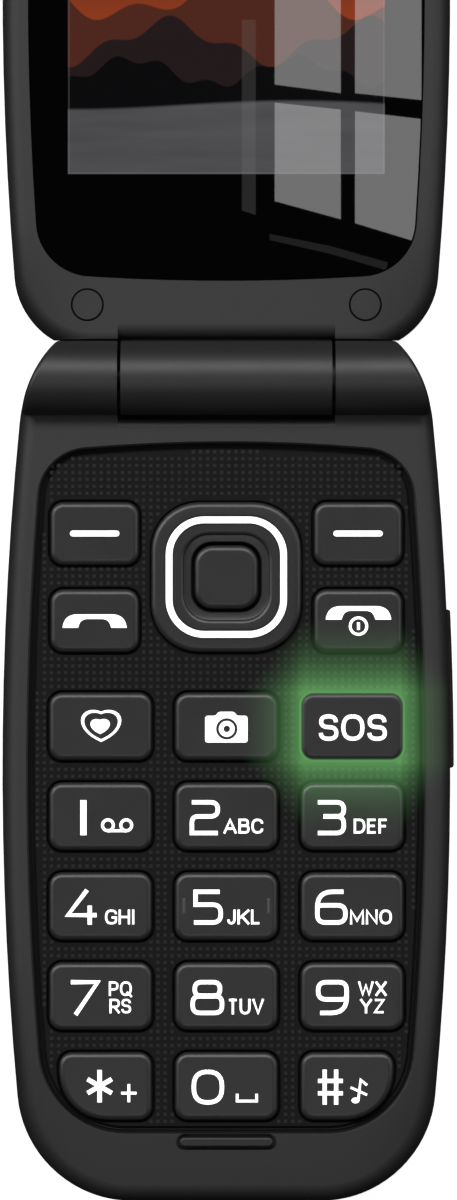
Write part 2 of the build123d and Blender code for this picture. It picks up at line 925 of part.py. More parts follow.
def make_flex():
    """Both halves of the flex cable: a roll on the hinge axis and a ribbon into each half."""
    meeting = bush_start + flex_overlap
    ribbon_middle = coil_diameter / 2 - flex_thickness / 2
    low = hinge_height - flex_drop
    lid_board_top = face - lens_sink - lens_thickness - lcd_gap - lcd_glass - backlight_thickness

    with BuildPart() as lid_flex:
        with BuildSketch(Plane.YZ.offset(lid_flex_x() - flex_width / 2)):
            with Locations((0, hinge_height)):
                Circle(coil_diameter / 2)
        extrude(amount=meeting - flex_meeting_gap - lid_flex_x() + flex_width / 2)
        with BuildSketch(Plane.YZ.offset(lid_flex_x() - flex_width / 2)):
            with BuildLine():
                FilletPolyline(
                    (ribbon_middle, hinge_height),
                    (ribbon_middle, low + flex_thickness / 2),
                    (lid_flex_reach, low + flex_thickness / 2),
                    (lid_flex_reach, lid_board_top + flex_thickness / 2),
                    radius=flex_thickness,
                )
                offset(amount=flex_thickness / 2)
            make_face()
        extrude(amount=flex_width)
    save(lid_flex.part, "lid_flex")

    with BuildPart() as base_flex:
        with BuildSketch(Plane.YZ.offset(meeting)):
            with Locations((0, hinge_height)):
                Circle(coil_diameter / 2)
        extrude(amount=base_flex_x() + flex_width / 2 - meeting)
        with BuildSketch(Plane.YZ.offset(base_flex_x() - flex_width / 2)):
            with BuildLine():
                FilletPolyline(
                    (-ribbon_middle, hinge_height),
                    (-ribbon_middle, low + flex_thickness / 2),
                    (-base_flex_reach, low + flex_thickness / 2),
                    (-base_flex_reach, board_top + flex_thickness / 2),
                    radius=flex_thickness,
                )
                offset(amount=flex_thickness / 2)
            make_face()
        extrude(amount=flex_width)
    save(base_flex.part, "base_flex")


def make_front_housing():
    """Base front housing: rolled rim around the keypad, chin and the two outer hinge knuckles."""
    with BuildPart() as knuckle:
        with BuildSketch(Plane.YZ.offset(base_knuckle_start)):
            with Locations((0, hinge_height)):
                Circle(barrel_radius)
        extrude(amount=body_width / 2)
        end_cut = slab(shoulder_outline(knuckle_inset), base_split, hinge_height + 2 * barrel_radius)
        add(end_cut, mode=Mode.INTERSECT)
        end_wall = knuckle.faces().sort_by(Axis.X)[-1]
        fillet(end_wall.edges(), knuckle_roll)

    with BuildPart() as base_front_housing:
        with BuildSketch(Plane.XY.offset(base_split)):
            add(base_outline(0, 0))
        extrude(amount=face - base_split)
        rim = base_front_housing.faces().sort_by(Axis.Z)[-1].edges()
        fillet(rim.sort_by(Axis.Y)[:-1], rim_roll)
        with BuildSketch(Plane.XY.offset(base_split)):
            Rectangle(2 * base_knuckle_start, base_edge, align=(Align.CENTER, Align.MAX))
        extrude(amount=face - base_split, mode=Mode.SUBTRACT)
        notch = base_front_housing.faces().filter_by(Axis.Z).sort_by(Axis.Z)[-1].edges()
        fillet(notch.filter_by(Axis.X).filter_by_position(Axis.Y, -base_edge, -base_edge), base_edge_roll)
        add(knuckle.part)
        add(mirror(knuckle.part, about=Plane.YZ))
        add(slab(base_outline(base_wall), base_split, face - base_top_wall), mode=Mode.SUBTRACT)
        with BuildSketch(Plane.XY.offset(base_split)):
            with Locations(*boss_places()):
                Circle(boss_diameter / 2)
            add(base_outline(base_wall / 2), mode=Mode.INTERSECT)
        extrude(amount=mat_top - base_split)
        with Locations(*[(x, y, base_split) for x, y in boss_places()]):
            Hole(base_screw_shank / 2 + thread_clearance, base_screw_bite + thread_clearance)
        add(slab(keypad_outline(0), face - base_top_wall, face), mode=Mode.SUBTRACT)
        bevel = taper_slab(
            keypad_outline(0), keypad_outline(-window_chamfer), face - window_chamfer, face
        )
        add(bevel, mode=Mode.SUBTRACT)
        with BuildSketch(Plane.XY.offset(face)):
            with Locations((0, -stop_reach)):
                SlotOverall(stop_slot_width, stop_slot_height)
        extrude(amount=-stop_slot_depth, mode=Mode.SUBTRACT)
        with BuildSketch(Plane.XY.offset(face)):
            with Locations((0, -stop_reach)):
                Circle(sound_hole / 2)
        extrude(amount=-base_top_wall, mode=Mode.SUBTRACT)
        rocker_slot = slab(rocker_band(rocker_clearance), base_split, rocker_top() + rocker_clearance)
        add(rocker_slot, mode=Mode.SUBTRACT)
        with BuildSketch(Plane.YZ.offset(-base_knuckle_start)):
            with Locations((0, hinge_height)):
                Circle(shaft_diameter / 2 + seat_clearance)
                Rectangle(shaft_diameter, shaft_flats + 2 * seat_clearance, mode=Mode.INTERSECT)
        extrude(amount=-shaft_in_base - seat_clearance, mode=Mode.SUBTRACT)
        with BuildSketch(Plane.YZ.offset(base_knuckle_start)):
            with Locations((0, hinge_height)):
                Circle(knuckle_bore / 2 - running_clearance + seat_clearance)
        extrude(amount=base_bore_end - base_knuckle_start, mode=Mode.SUBTRACT)
        with BuildSketch(Plane.XY.offset(hinge_height)):
            with Locations((base_flex_x(), flex_thickness / 2 - coil_diameter / 2)):
                Rectangle(flex_width + flex_clearance, flex_thickness + 2 * flex_clearance)
        extrude(amount=-flex_drop - flex_clearance, mode=Mode.SUBTRACT)
        with BuildSketch(Plane.XZ.offset(coil_diameter / 2 - flex_thickness / 2)):
            with Locations((base_flex_x(), hinge_height - flex_drop + flex_thickness / 2)):
                Rectangle(flex_width + flex_clearance, flex_thickness + 2 * flex_clearance)
        extrude(amount=base_edge + base_wall, mode=Mode.SUBTRACT)
    save(base_front_housing.part, "base_front_housing")


def make_rear_housing():
    """Base rear housing: floor above the battery bay, bays, screw seats, port, and heel under the hinge."""
    with BuildPart() as base_rear_housing:
        with BuildSketch(Plane.XY.offset(cover_height)):
            add(base_outline(0, -heel_reach))
        extrude(amount=base_split - cover_height)
        with BuildSketch(Plane.XY.offset(cover_height)):
            add(base_outline(0, -lid_edge - heel_lip_lap))
        extrude(amount=lid_back - heel_lip_gap - cover_height)
        add(slab(base_outline(base_wall), rear_floor_top, base_split), mode=Mode.SUBTRACT)
        with BuildSketch(Plane.XY.offset(cover_height)):
            with Locations((0, -battery_near - battery_length / 2)):
                RectangleRounded(
                    battery_width + 2 * battery_clearance,
                    battery_length + 2 * battery_clearance,
                    battery_corner,
                )
        extrude(amount=rear_floor_bottom - cover_height, mode=Mode.SUBTRACT)
        with BuildSketch(Plane.XY.offset(cover_height)):
            with Locations((0, -(bay_near + bay_far) / 2)):
                RectangleRounded(bay_width, bay_far - bay_near, bay_corner)
            with Locations((0, -bay_far + bay_corner)):
                Rectangle(
                    contact_width + 2 * contact_clearance,
                    battery_near - bay_far + 2 * bay_corner,
                    align=(Align.CENTER, Align.MAX),
                )
            add(end_bay_outline())
        extrude(amount=rear_floor_top - cover_height, mode=Mode.SUBTRACT)
        with Locations(*[(x, y, cover_height) for x, y in boss_places()]):
            with Locations(Location((0, 0, 0), (180, 0, 0))):
                CounterBoreHole(
                    base_screw_shank / 2 + base_screw_clearance,
                    base_screw_head / 2 + base_screw_clearance,
                    base_split - cover_height - base_screw_seat,
                    base_split - cover_height,
                )
        with BuildSketch(Plane.XZ.offset(half_length)):
            with Locations((0, board_bottom - usb_height / 2)):
                SlotOverall(usb_width + 2 * usb_clearance, usb_height + 2 * usb_clearance)
        extrude(amount=-base_wall - usb_setback, mode=Mode.SUBTRACT)
    save(base_rear_housing.part, "base_rear_housing")


def make_rear_cover():
    """Rear cover: the shallow tray that the phone lies on, with the loudspeaker's slots."""
    with BuildPart() as rear_cover:
        with BuildSketch():
            add(base_outline(0))
        extrude(amount=cover_height)
        rim = rear_cover.faces().sort_by(Axis.Z)[0].edges()
        fillet(rim.sort_by(Axis.Y)[:-1], cover_roll)
        hinge_end = rear_cover.faces().sort_by(Axis.Y)[-1].edges()
        fillet(hinge_end.filter_by_position(Axis.Z, 0, cover_roll), base_edge_roll)
        add(slab(base_outline(base_wall), cover_floor, cover_height), mode=Mode.SUBTRACT)
        with BuildSketch():
            with Locations((speaker_offset, -speaker_reach)):
                with GridLocations(speaker_slot_pitch, speaker_slot_pitch, 1, speaker_slots):
                    SlotOverall(speaker_slot_width, speaker_slot_height)
        extrude(amount=cover_floor, mode=Mode.SUBTRACT)
    save(rear_cover.part, "rear_cover")


def make_battery():
    """Battery and the contact block that presses on its end."""
    with BuildPart() as battery:
        with BuildSketch(Plane.XY.offset(cover_floor + battery_gap)):
            with Locations((0, -battery_near - battery_length / 2)):
                RectangleRounded(battery_width, battery_length, battery_corner)
        extrude(amount=battery_thickness)
    save(battery.part, "battery")

    block_end = battery_near - leaf_reach
    with BuildPart() as battery_contacts:
        with BuildSketch(Plane.XY.offset(board_bottom)):
            with Locations((0, -block_end)):
                Rectangle(contact_width, contact_length, align=(Align.CENTER, Align.MIN))
        extrude(amount=-contact_height)
        with BuildSketch(Plane.XZ.offset(block_end)):
            with Locations((0, board_bottom - contact_height + leaf_height / 2)):
                with GridLocations(leaf_pitch, leaf_pitch, leaf_count, 1):
                    Rectangle(leaf_width, leaf_height)
        extrude(amount=leaf_reach - seat_clearance)
    save(battery_contacts.part, "battery_contacts")


def make_main_board():
    """Main board with the rocker's two side switches, the SOS light and the microphone."""
    inset = boss_inset + boss_diameter / 2 + board_clearance
    outline = flask(BASE, inset, board_near, board_far, board_corner, far_corner_radius - inset)
    switch_face = rocker_inner() - rocker_flange_thickness - rocker_nub_length - switch_gap
    with BuildPart() as main_board:
        add(slab(outline, board_bottom, board_top))
        with BuildSketch(Plane.XY.offset(board_top)):
            for side in (-1, 1):
                with Locations((switch_face, -rocker_reach + side * rocker_nub_offset)):
                    Rectangle(switch_depth, switch_width, align=(Align.MAX, Align.CENTER))
        extrude(amount=switch_height)
    save(main_board.part, "main_board")

    sos = next(key for key in KEYS if key.name == "sos_key")
    with BuildPart() as sos_light:
        with BuildSketch(Plane.XY.offset(board_top)):
            with Locations((sos.x - led_offset, -sos.reach)):
                Rectangle(led_width, led_length)
        extrude(amount=led_height)
    save(sos_light.part, "sos_light")

    with BuildPart() as microphone:
        with BuildSketch(Plane.XY.offset(board_top)):
            with Locations((0, -stop_reach)):
                Circle(microphone_diameter / 2)
        extrude(amount=microphone_height)
    save(microphone.part, "microphone")


def make_board_parts():
    """Shield can, loudspeaker, card holder, vibration motor and antenna under the main board."""
    with BuildPart() as shield_can:
        with BuildSketch(Plane.XY.offset(board_bottom - shield_height)):
            with Locations((-shield_offset, -shield_reach)):
                RectangleRounded(shield_width, shield_length, shield_corner)
        extrude(amount=shield_height)
        offset(amount=-shield_wall, openings=shield_can.faces().sort_by(Axis.Z)[-1:])
    save(shield_can.part, "shield_can")

    speaker_bottom = cover_floor + seat_gap
    with BuildPart() as loudspeaker:
        with BuildSketch(Plane.XY.offset(speaker_bottom)):
            with Locations((speaker_offset, -speaker_reach)):
                RectangleRounded(speaker_width, speaker_length, speaker_corner)
        extrude(amount=board_bottom - speaker_board_gap - speaker_bottom)
        with BuildSketch(Plane.XY.offset(speaker_bottom)):
            with Locations((speaker_offset, -speaker_reach)):
                RectangleRounded(
                    speaker_width - 2 * speaker_cone_rim,
                    speaker_length - 2 * speaker_cone_rim,
                    speaker_corner - speaker_cone_rim / 2,
                )
        extrude(amount=speaker_cone_depth, mode=Mode.SUBTRACT)
    save(loudspeaker.part, "loudspeaker")

    with BuildPart() as card_holder:
        with BuildSketch(Plane.XY.offset(board_bottom - card_height)):
            with Locations((card_offset, -card_reach)):
                Rectangle(card_width, card_length)
        extrude(amount=card_height)
        with BuildSketch(Plane.XZ.offset(card_reach - card_length / 2)):
            with Locations((card_offset, board_bottom - card_height / 2)):
                Rectangle(card_width - 2 * card_slot_wall, card_slot_height)
        extrude(amount=card_length - card_slot_wall, mode=Mode.SUBTRACT)
    save(card_holder.part, "card_holder")

    with BuildPart() as vibration_motor:
        with BuildSketch(Plane.XY.offset(board_bottom)):
            with Locations((-motor_offset, -motor_reach)):
                Circle(motor_diameter / 2)
        extrude(amount=-motor_height)
    save(vibration_motor.part, "vibration_motor")

    with BuildPart() as antenna:
        with BuildSketch(Plane.XY.offset(board_bottom)):
            with Locations((antenna_offset, -antenna_reach)):
                RectangleRounded(antenna_width, antenna_length, antenna_corner)
        extrude(amount=-antenna_height)
    save(antenna.part, "antenna")


def make_usb_port():
    """Charging port: a flat-sided tube, closed at its inner end, around a contact tongue."""
    mouth = Plane.XZ.offset(half_length - usb_setback)
    middle = board_bottom - usb_height / 2
    with BuildPart() as usb_port:
        with BuildSketch(mouth):
            with Locations((0, middle)):
                SlotOverall(usb_width, usb_height)
        extrude(amount=-usb_depth)
        with BuildSketch(mouth):
            with Locations((0, middle)):
                SlotOverall(usb_width - 2 * usb_wall, usb_height - 2 * usb_wall)
        extrude(amount=-usb_inner_depth, mode=Mode.SUBTRACT)
        with BuildSketch(mouth.offset(-usb_inner_depth)):
            with Locations((0, middle)):
                Rectangle(usb_tongue_width, usb_tongue_height)
        extrude(amount=usb_tongue_length)
    save(usb_port.part, "usb_port")


def make_base_fasteners():
    """Housing screws, and the rubber bar that the closed lid rests on."""
    with BuildPart() as base_screws:
        with BuildSketch(Plane.XY.offset(base_split - base_screw_seat)):
            with Locations(*boss_places()):
                Circle(base_screw_head / 2)
        extrude(amount=-base_screw_head_height)
        with BuildSketch(Plane.XY.offset(base_split - base_screw_seat)):
            with Locations(*boss_places()):
                Circle(base_screw_shank / 2)
        extrude(amount=base_screw_seat + base_screw_bite)
    save(base_screws.part, "base_screws")

    with BuildPart() as lid_stop:
        with BuildSketch(Plane.XY.offset(face - stop_slot_depth)):
            with Locations((0, -stop_reach)):
                SlotOverall(stop_slot_width - 2 * stop_clearance, stop_slot_height - 2 * stop_clearance)
        extrude(amount=stop_slot_depth + stop_rise)
        fillet(lid_stop.faces().sort_by(Axis.Z)[-1].edges(), stop_edge)
    save(lid_stop.part, "lid_stop")


def make_keypad_panel():
    """Keypad panel: a plate with an opening for every key and a lap under the rim."""
    with BuildPart() as keypad_panel:
        add(slab(keypad_outline(moat_width), panel_bottom, panel_top))
        chamfer(keypad_panel.faces().sort_by(Axis.Z)[-1].edges(), panel_edge)
        add(slab(keypad_outline(-panel_lap), panel_bottom, face - base_top_wall - seat_gap))
        with BuildSketch(Plane.XY.offset(panel_bottom)):
            for key in KEYS:
                add(key_face(key, key_clearance))
            add(nav_square(nav_size + 2 * key_clearance, nav_corner + key_clearance))
        extrude(amount=panel_thickness, mode=Mode.SUBTRACT)
    save(keypad_panel.part, "keypad_panel")


def make_keypad_mat():
    """Keypad mat with a nub under each key, and the dome sheet on the board below it."""
    with BuildPart() as keypad_mat:
        add(slab(mat_outline(), mat_bottom, mat_top))
        nav_margin = nav_flange_lap + nav_clearance
        nav_room = nav_square(nav_size + 2 * nav_margin, nav_corner + nav_margin)
        add(slab(nav_room, mat_bottom, mat_top), mode=Mode.SUBTRACT)
        with BuildSketch(Plane.XY.offset(mat_bottom)):
            with Locations(*[(key.x, -key.reach) for key in KEYS]):
                Circle(nub_diameter / 2)
        extrude(amount=dome_top + nub_gap - mat_bottom)
    save(keypad_mat.part, "keypad_mat")

    sos = next(key for key in KEYS if key.name == "sos_key")
    places = [(key.x, -key.reach) for key in KEYS] + [(0, -nav_reach)]
    for x, y in ((-1, 0), (1, 0), (0, -1), (0, 1)):
        places.append((x * pad_nub_offset, y * pad_nub_offset - nav_reach))
    with BuildPart() as dome_sheet:
        add(slab(mat_outline(), board_top, board_top + film_thickness))
        with BuildSketch(Plane.XY.offset(board_top)):
            with Locations((sos.x - led_offset, -sos.reach)):
                Rectangle(led_width + 2 * led_clearance, led_length + 2 * led_clearance)
            switch_edge = rocker_inner() - rocker_flange_thickness
            for side in (-1, 1):
                with Locations((switch_edge, -rocker_reach + side * rocker_nub_offset)):
                    Rectangle(
                        2 * (rocker_nub_length + switch_gap + switch_depth + led_clearance),
                        switch_width + 2 * led_clearance,
                    )
        extrude(amount=film_thickness, mode=Mode.SUBTRACT)
        with Locations(*[(x, y, board_top + film_thickness) for x, y in places]):
            Cone(
                dome_base_diameter / 2,
                dome_top_diameter / 2,
                dome_rise,
                align=(Align.CENTER, Align.CENTER, Align.MIN),
            )
    save(dome_sheet.part, "dome_sheet")


def make_keys():
    """Every key that presses straight down: a cap with a rounded edge on a retaining flange."""
    for key in KEYS:
        with BuildPart() as cap:
            add(slab(key_face(key), flange_top, panel_top + key_rise))
            fillet(cap.faces().sort_by(Axis.Z)[-1].edges(), key_edge)
            add(slab(key_face(key, key_flange_lap), flange_top - key_flange_thickness, flange_top))
            if key.name == "key_5":
                with BuildSketch(Plane.XY.offset(panel_top + key_rise)):
                    with Locations((-tick_offset, -key.reach), (tick_offset, -key.reach)):
                        SlotOverall(tick_length, tick_width, rotation=90)
                extrude(amount=tick_height)
        save(cap.part, key.name)


def make_navigation():
    """Navigation ring with its dished middle, the light ring let into it, its pad and the OK key."""
    nav_top = panel_top + nav_rise
    flange = nav_square(nav_size + 2 * nav_flange_lap, nav_corner + nav_flange_lap)
    with BuildPart() as nav_ring:
        add(slab(nav_square(nav_size, nav_corner), nav_bottom, nav_top))
        fillet(nav_ring.faces().sort_by(Axis.Z)[-1].edges(), nav_edge)
        add(slab(flange, nav_bottom, nav_bottom + nav_flange_thickness))
        add(slab(nav_square(nav_hole, nav_hole_corner), nav_bottom, nav_top), mode=Mode.SUBTRACT)
        dish = nav_ring.faces().sort_by(Axis.Z)[-1].inner_wires().edges()
        chamfer(dish, nav_dish_depth, (nav_dish_size - nav_hole) / 2)
        add(light_ring(0), mode=Mode.SUBTRACT)
    save(nav_ring.part, "nav_ring")

    save(light_ring(light_ring_gap), "nav_light")

    with BuildPart() as nav_pad:
        add(slab(nav_square(pad_size, pad_corner), pad_bottom, pad_top))
        add(slab(nav_square(pad_hole, pad_hole_corner), pad_bottom, pad_top), mode=Mode.SUBTRACT)
        with BuildSketch(Plane.XY.offset(pad_bottom)):
            for x, y in ((-1, 0), (1, 0), (0, -1), (0, 1)):
                with Locations((x * pad_nub_offset, y * pad_nub_offset - nav_reach)):
                    Circle(pad_nub_diameter / 2)
        extrude(amount=dome_top + pad_nub_gap - pad_bottom)
    save(nav_pad.part, "nav_pad")

    ok_flange_top = nav_bottom - ok_flange_drop
    ok_bottom = ok_flange_top - ok_flange_thickness
    with BuildPart() as ok_key:
        add(slab(nav_square(ok_size, ok_corner), ok_flange_top, panel_top + key_rise))
        fillet(ok_key.faces().sort_by(Axis.Z)[-1].edges(), key_edge)
        flange = nav_square(ok_size + 2 * ok_flange_lap, ok_corner + ok_flange_lap)
        add(slab(flange, ok_bottom, ok_flange_top))
        with BuildSketch(Plane.XY.offset(ok_bottom)):
            with Locations((0, -nav_reach)):
                Circle(nub_diameter / 2)
        extrude(amount=dome_top + key_travel + nub_gap - ok_bottom)
    save(ok_key.part, "ok_key")


def light_ring(gap):
    """The square light ring on top of the navigation ring, slimmed by a gap on both sides."""
    top = panel_top + nav_rise
    bottom = top - light_ring_depth
    inner = light_ring_size - 2 * light_ring_width
    with BuildPart() as ring:
        add(slab(nav_square(light_ring_size - 2 * gap, light_ring_corner - gap), bottom, top))
        hole = nav_square(inner + 2 * gap, light_ring_corner - light_ring_width + gap)
        add(slab(hole, bottom, top), mode=Mode.SUBTRACT)
    return ring.part


def rocker_top():
    """Height of the volume rocker's upper edge."""
    return base_split + rocker_clearance + rocker_height


def rocker_inner():
    """Where the rocker's flange starts, clear of the curved side wall over its whole length."""
    flange_near = rocker_reach - rocker_length / 2 - rocker_flange_lap
    return half_width(flange_near) - base_wall - rocker_flange_gap


def rocker_band(grow):
    """The rocker's outline from above, grown along the wall, reaching through the side wall."""
    with BuildSketch() as band:
        with Locations((rocker_inner(), -rocker_reach)):
            Rectangle(body_width, rocker_length + 2 * grow, align=(Align.MIN, Align.CENTER))
        with Locations((body_width / 2 - side_radius, -widest_reach)):
            Circle(side_radius + rocker_proud, mode=Mode.INTERSECT)
    return band.sketch


def make_rocker():
    """Volume rocker: a bar through the side wall, held by a flange, with a nub for each switch."""
    inner = rocker_inner()
    bottom = base_split + rocker_clearance
    with BuildPart() as volume_rocker:
        add(slab(rocker_band(0), bottom, rocker_top()))
        outer = volume_rocker.faces().sort_by(Axis.X)[-1].edges()
        fillet(outer, rocker_edge)
        with BuildSketch(Plane.XY.offset(bottom)):
            with Locations((inner, -rocker_reach)):
                Rectangle(
                    rocker_flange_thickness,
                    rocker_length + 2 * rocker_flange_lap,
                    align=(Align.MAX, Align.CENTER),
                )
        extrude(amount=rocker_height + rocker_flange_lap)
        with BuildSketch(Plane.XY.offset(bottom)):
            for side in (-1, 1):
                nub_y = -rocker_reach + side * rocker_nub_offset
                with Locations((inner - rocker_flange_thickness, nub_y)):
                    Rectangle(rocker_nub_length, rocker_nub_width, align=(Align.MAX, Align.CENTER))
        extrude(amount=rocker_height)
    save(volume_rocker.part, "volume_rocker")


os.makedirs("parts", exist_ok=True)
make_lid_frame()
make_lid_cover()
make_display()
make_earpiece()
make_lid_fasteners()
make_camera()
make_hinge()
make_flex()
make_front_housing()
make_rear_housing()
make_rear_cover()
make_battery()
make_main_board()
make_board_parts()
make_usb_port()
make_base_fasteners()
make_keypad_panel()
make_keypad_mat()
make_keys()
make_navigation()
make_rocker()
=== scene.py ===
"""Looks of a clamshell mobile phone, opened flat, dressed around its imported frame."""
import logging
import math
from dataclasses import dataclass, field
from enum import Enum
from functools import partial, partialmethod, reduce
from typing import Any, Iterable, Sequence

import bmesh
import bpy
import numpy as np
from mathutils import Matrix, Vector


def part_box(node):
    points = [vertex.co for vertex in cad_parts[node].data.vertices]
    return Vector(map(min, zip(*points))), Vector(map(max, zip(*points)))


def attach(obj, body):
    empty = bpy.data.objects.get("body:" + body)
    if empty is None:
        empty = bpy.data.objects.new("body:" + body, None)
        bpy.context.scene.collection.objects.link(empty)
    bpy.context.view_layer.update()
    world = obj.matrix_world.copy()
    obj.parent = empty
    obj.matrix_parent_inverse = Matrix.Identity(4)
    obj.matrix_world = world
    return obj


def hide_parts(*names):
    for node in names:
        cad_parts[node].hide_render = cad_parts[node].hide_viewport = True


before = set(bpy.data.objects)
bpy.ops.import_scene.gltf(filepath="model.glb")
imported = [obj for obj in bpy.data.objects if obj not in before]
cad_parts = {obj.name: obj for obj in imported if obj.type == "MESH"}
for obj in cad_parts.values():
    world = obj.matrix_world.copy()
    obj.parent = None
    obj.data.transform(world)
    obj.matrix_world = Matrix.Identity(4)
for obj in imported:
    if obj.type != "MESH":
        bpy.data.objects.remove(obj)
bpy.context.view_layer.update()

MM = 0.001
log = logging.getLogger("phone")
Triple = tuple[float, float, float]
Colour = Triple
Quad = tuple[float, float, float, float]
Span = tuple[float, float]
# Corners of a square, from the far right one round to the left
SQUARE = np.array(((1, 1), (-1, 1), (-1, -1), (1, -1)), float)
# Angle in degrees above which an edge of a key stays sharp
CREASE = 32.0
UPPER = ("soft_key_left", "soft_key_right", "call_key", "end_key")
GRID = ("favourite_key", "camera_key", "sos_key", *(f"key_{n}" for n in range(1, 10)), "key_star", "key_0", "key_hash")
# Bevel round a key's top: how far the outline is grown, and the height over the top
BEVEL: tuple[Span, ...] = (
    (0.0, -0.40), (-0.05, -0.30), (-0.12, -0.215), (-0.20, -0.155), (-0.29, -0.107),
    (-0.38, -0.067), (-0.47, -0.035), (-0.56, -0.012), (-0.66, 0.0), (-0.74, 0.0),
)


def grey(tone: float) -> Colour:
    """A colour without hue."""
    return (tone, tone, tone)


def tinted(colour: Colour, gain: float) -> Colour:
    """A colour made lighter or darker by one factor."""
    return tuple(c * gain for c in colour)


BLACK, WHITE = grey(0.0), grey(1.0)


# Shader arithmetic


class Val:
    """A shader socket that takes part in sums as a number does."""

    def __init__(self, tree: "Nodes", socket: bpy.types.NodeSocket | None) -> None:
        """Wrap one output socket of a tree."""
        self.tree, self.socket = tree, socket

    def act(self, operation: str, other: Any = 0.0) -> "Val":
        """One Math node on this value and another."""
        return self.tree.math(operation, self, other)

    def react(self, operation: str, other: Any) -> "Val":
        """One Math node on a number and this value."""
        return self.tree.math(operation, other, self)

    __add__ = __radd__ = partialmethod(act, "ADD")
    __sub__, __rsub__ = partialmethod(act, "SUBTRACT"), partialmethod(react, "SUBTRACT")
    __mul__ = __rmul__ = partialmethod(act, "MULTIPLY")
    __truediv__, __rtruediv__ = partialmethod(act, "DIVIDE"), partialmethod(react, "DIVIDE")
    __pow__, __abs__, part = partialmethod(act, "POWER"), partialmethod(act, "ABSOLUTE"), partialmethod(act, "FRACT")
    sin, exp = partialmethod(act, "SINE"), partialmethod(act, "EXPONENT")
    least, most = partialmethod(act, "MINIMUM"), partialmethod(act, "MAXIMUM")

    def step(self, low: float, high: float) -> "Val":
        """Rise smoothly from 0 at low to 1 at high."""
        return self.tree.node("ShaderNodeMapRange", {"interpolation_type": "SMOOTHSTEP"}, {0: self, 1: low, 2: high})

    def stripes(self, pitch: float, low: float, high: float) -> "Val":
        """Stripes at one pitch, rising from 0 to 1 between two distances from their middle."""
        return abs((self / pitch).part() - 0.5).step(low, high)


class Nodes:
    """A node tree laid out from nothing."""

    def __init__(self, owner: bpy.types.Material | bpy.types.World) -> None:
        """Take over the tree of a material or world and empty it.

        Args:
            owner: the material or world.
        """
        owner.use_nodes = True
        self.nodes, self.links = owner.node_tree.nodes, owner.node_tree.links
        self.nodes.clear()

    def node(
        self, kind: str, settings: dict[str, Any] | None = None, inputs: dict[Any, Any] | None = None, out: Any = 0
    ) -> Val:
        """Add one node.

        Args:
            kind: Blender's name for the node's type.
            settings: the node's own settings, set first.
            inputs: sockets by name or number, each with a value or a link.
            out: name or number of the output that is handed back.

        Returns:
            The chosen output, empty for a node without outputs.
        """
        made = self.nodes.new(kind)
        for name, value in (settings or {}).items():
            setattr(made, name, value)
        for name, value in (inputs or {}).items():
            self.feed(made.inputs[name], value)
        return Val(self, made.outputs[out] if made.outputs else None)

    def feed(self, socket: bpy.types.NodeSocket, value: Any) -> None:
        """Link or set one input socket.

        Args:
            socket: the input.
            value: a Val to link, or a number, colour or vector to set.
        """
        if isinstance(value, Val):
            self.links.new(value.socket, socket)
        elif socket.type == "RGBA" and len(value) == 3:
            socket.default_value = (*value, 1.0)
        else:
            socket.default_value = value

    def math(self, operation: str, a: Any, b: Any) -> Val:
        """One Math node."""
        return self.node("ShaderNodeMath", {"operation": operation}, {0: a, 1: b})

    def mix(self, share: Any, a: Any, b: Any) -> Val:
        """A colour between a at share 0 and b at share 1."""
        return self.node("ShaderNodeMix", {"data_type": "RGBA"}, {0: share, 6: a, 7: b}, 2)


class Tree(Nodes):
    """The node tree of one material, ending in one glossy shader."""

    def __init__(self, material: bpy.types.Material) -> None:
        """Start a tree with its shader and output.

        Args:
            material: material whose nodes are to be laid out.
        """
        super().__init__(material)
        shader = self.node("ShaderNodeBsdfPrincipled")
        self.node("ShaderNodeOutputMaterial", None, {0: shader})
        self.inputs = shader.socket.node.inputs
        self._place: tuple[Val, Val, Val] | None = None

    def where(self) -> tuple[Val, Val, Val]:
        """The surface point, split once for the whole tree.

        Returns:
            Its x, y and z in millimetres.
        """
        if self._place is None:
            point = self.node("ShaderNodeTexCoord", out="Object")
            mm = self.node("ShaderNodeVectorMath", {"operation": "SCALE"}, {0: point, "Scale": 1.0 / MM})
            split = self.node("ShaderNodeSeparateXYZ", None, {0: mm}).socket.node
            self._place = tuple(Val(self, s) for s in split.outputs)
        return self._place

    def noise(self, size: float, detail: float = 2.0, stretch: Triple = (1.0, 1.0, 1.0)) -> Val:
        """Cloudy noise from 0 to 1.

        Args:
            size: size of one cloud, in millimetres.
            detail: number of finer layers.
            stretch: how far the clouds are drawn out along x, y and z.

        Returns:
            The noise value.
        """
        point = self.node("ShaderNodeTexCoord", out="Object")
        scale = tuple(1.0 / (MM * size * s) for s in stretch)
        moved = self.node("ShaderNodeMapping", None, {"Vector": point, "Scale": scale})
        return self.node("ShaderNodeTexNoise", None, {"Vector": moved, "Scale": 1.0, "Detail": detail})

    def bump(self, height: Val, depth: float = 1.0) -> Val:
        """A normal bumped by a height pattern, at so many millimetres for a height of 1."""
        return self.node("ShaderNodeBump", None, {"Strength": 1.0, "Distance": depth * MM, "Height": height})

    def set(self, **values: Any) -> None:
        """Feed sockets of the shader, named with underscores for blanks."""
        for name, value in values.items():
            self.feed(self.inputs[name.replace("_", " ")], value)


# Finishes


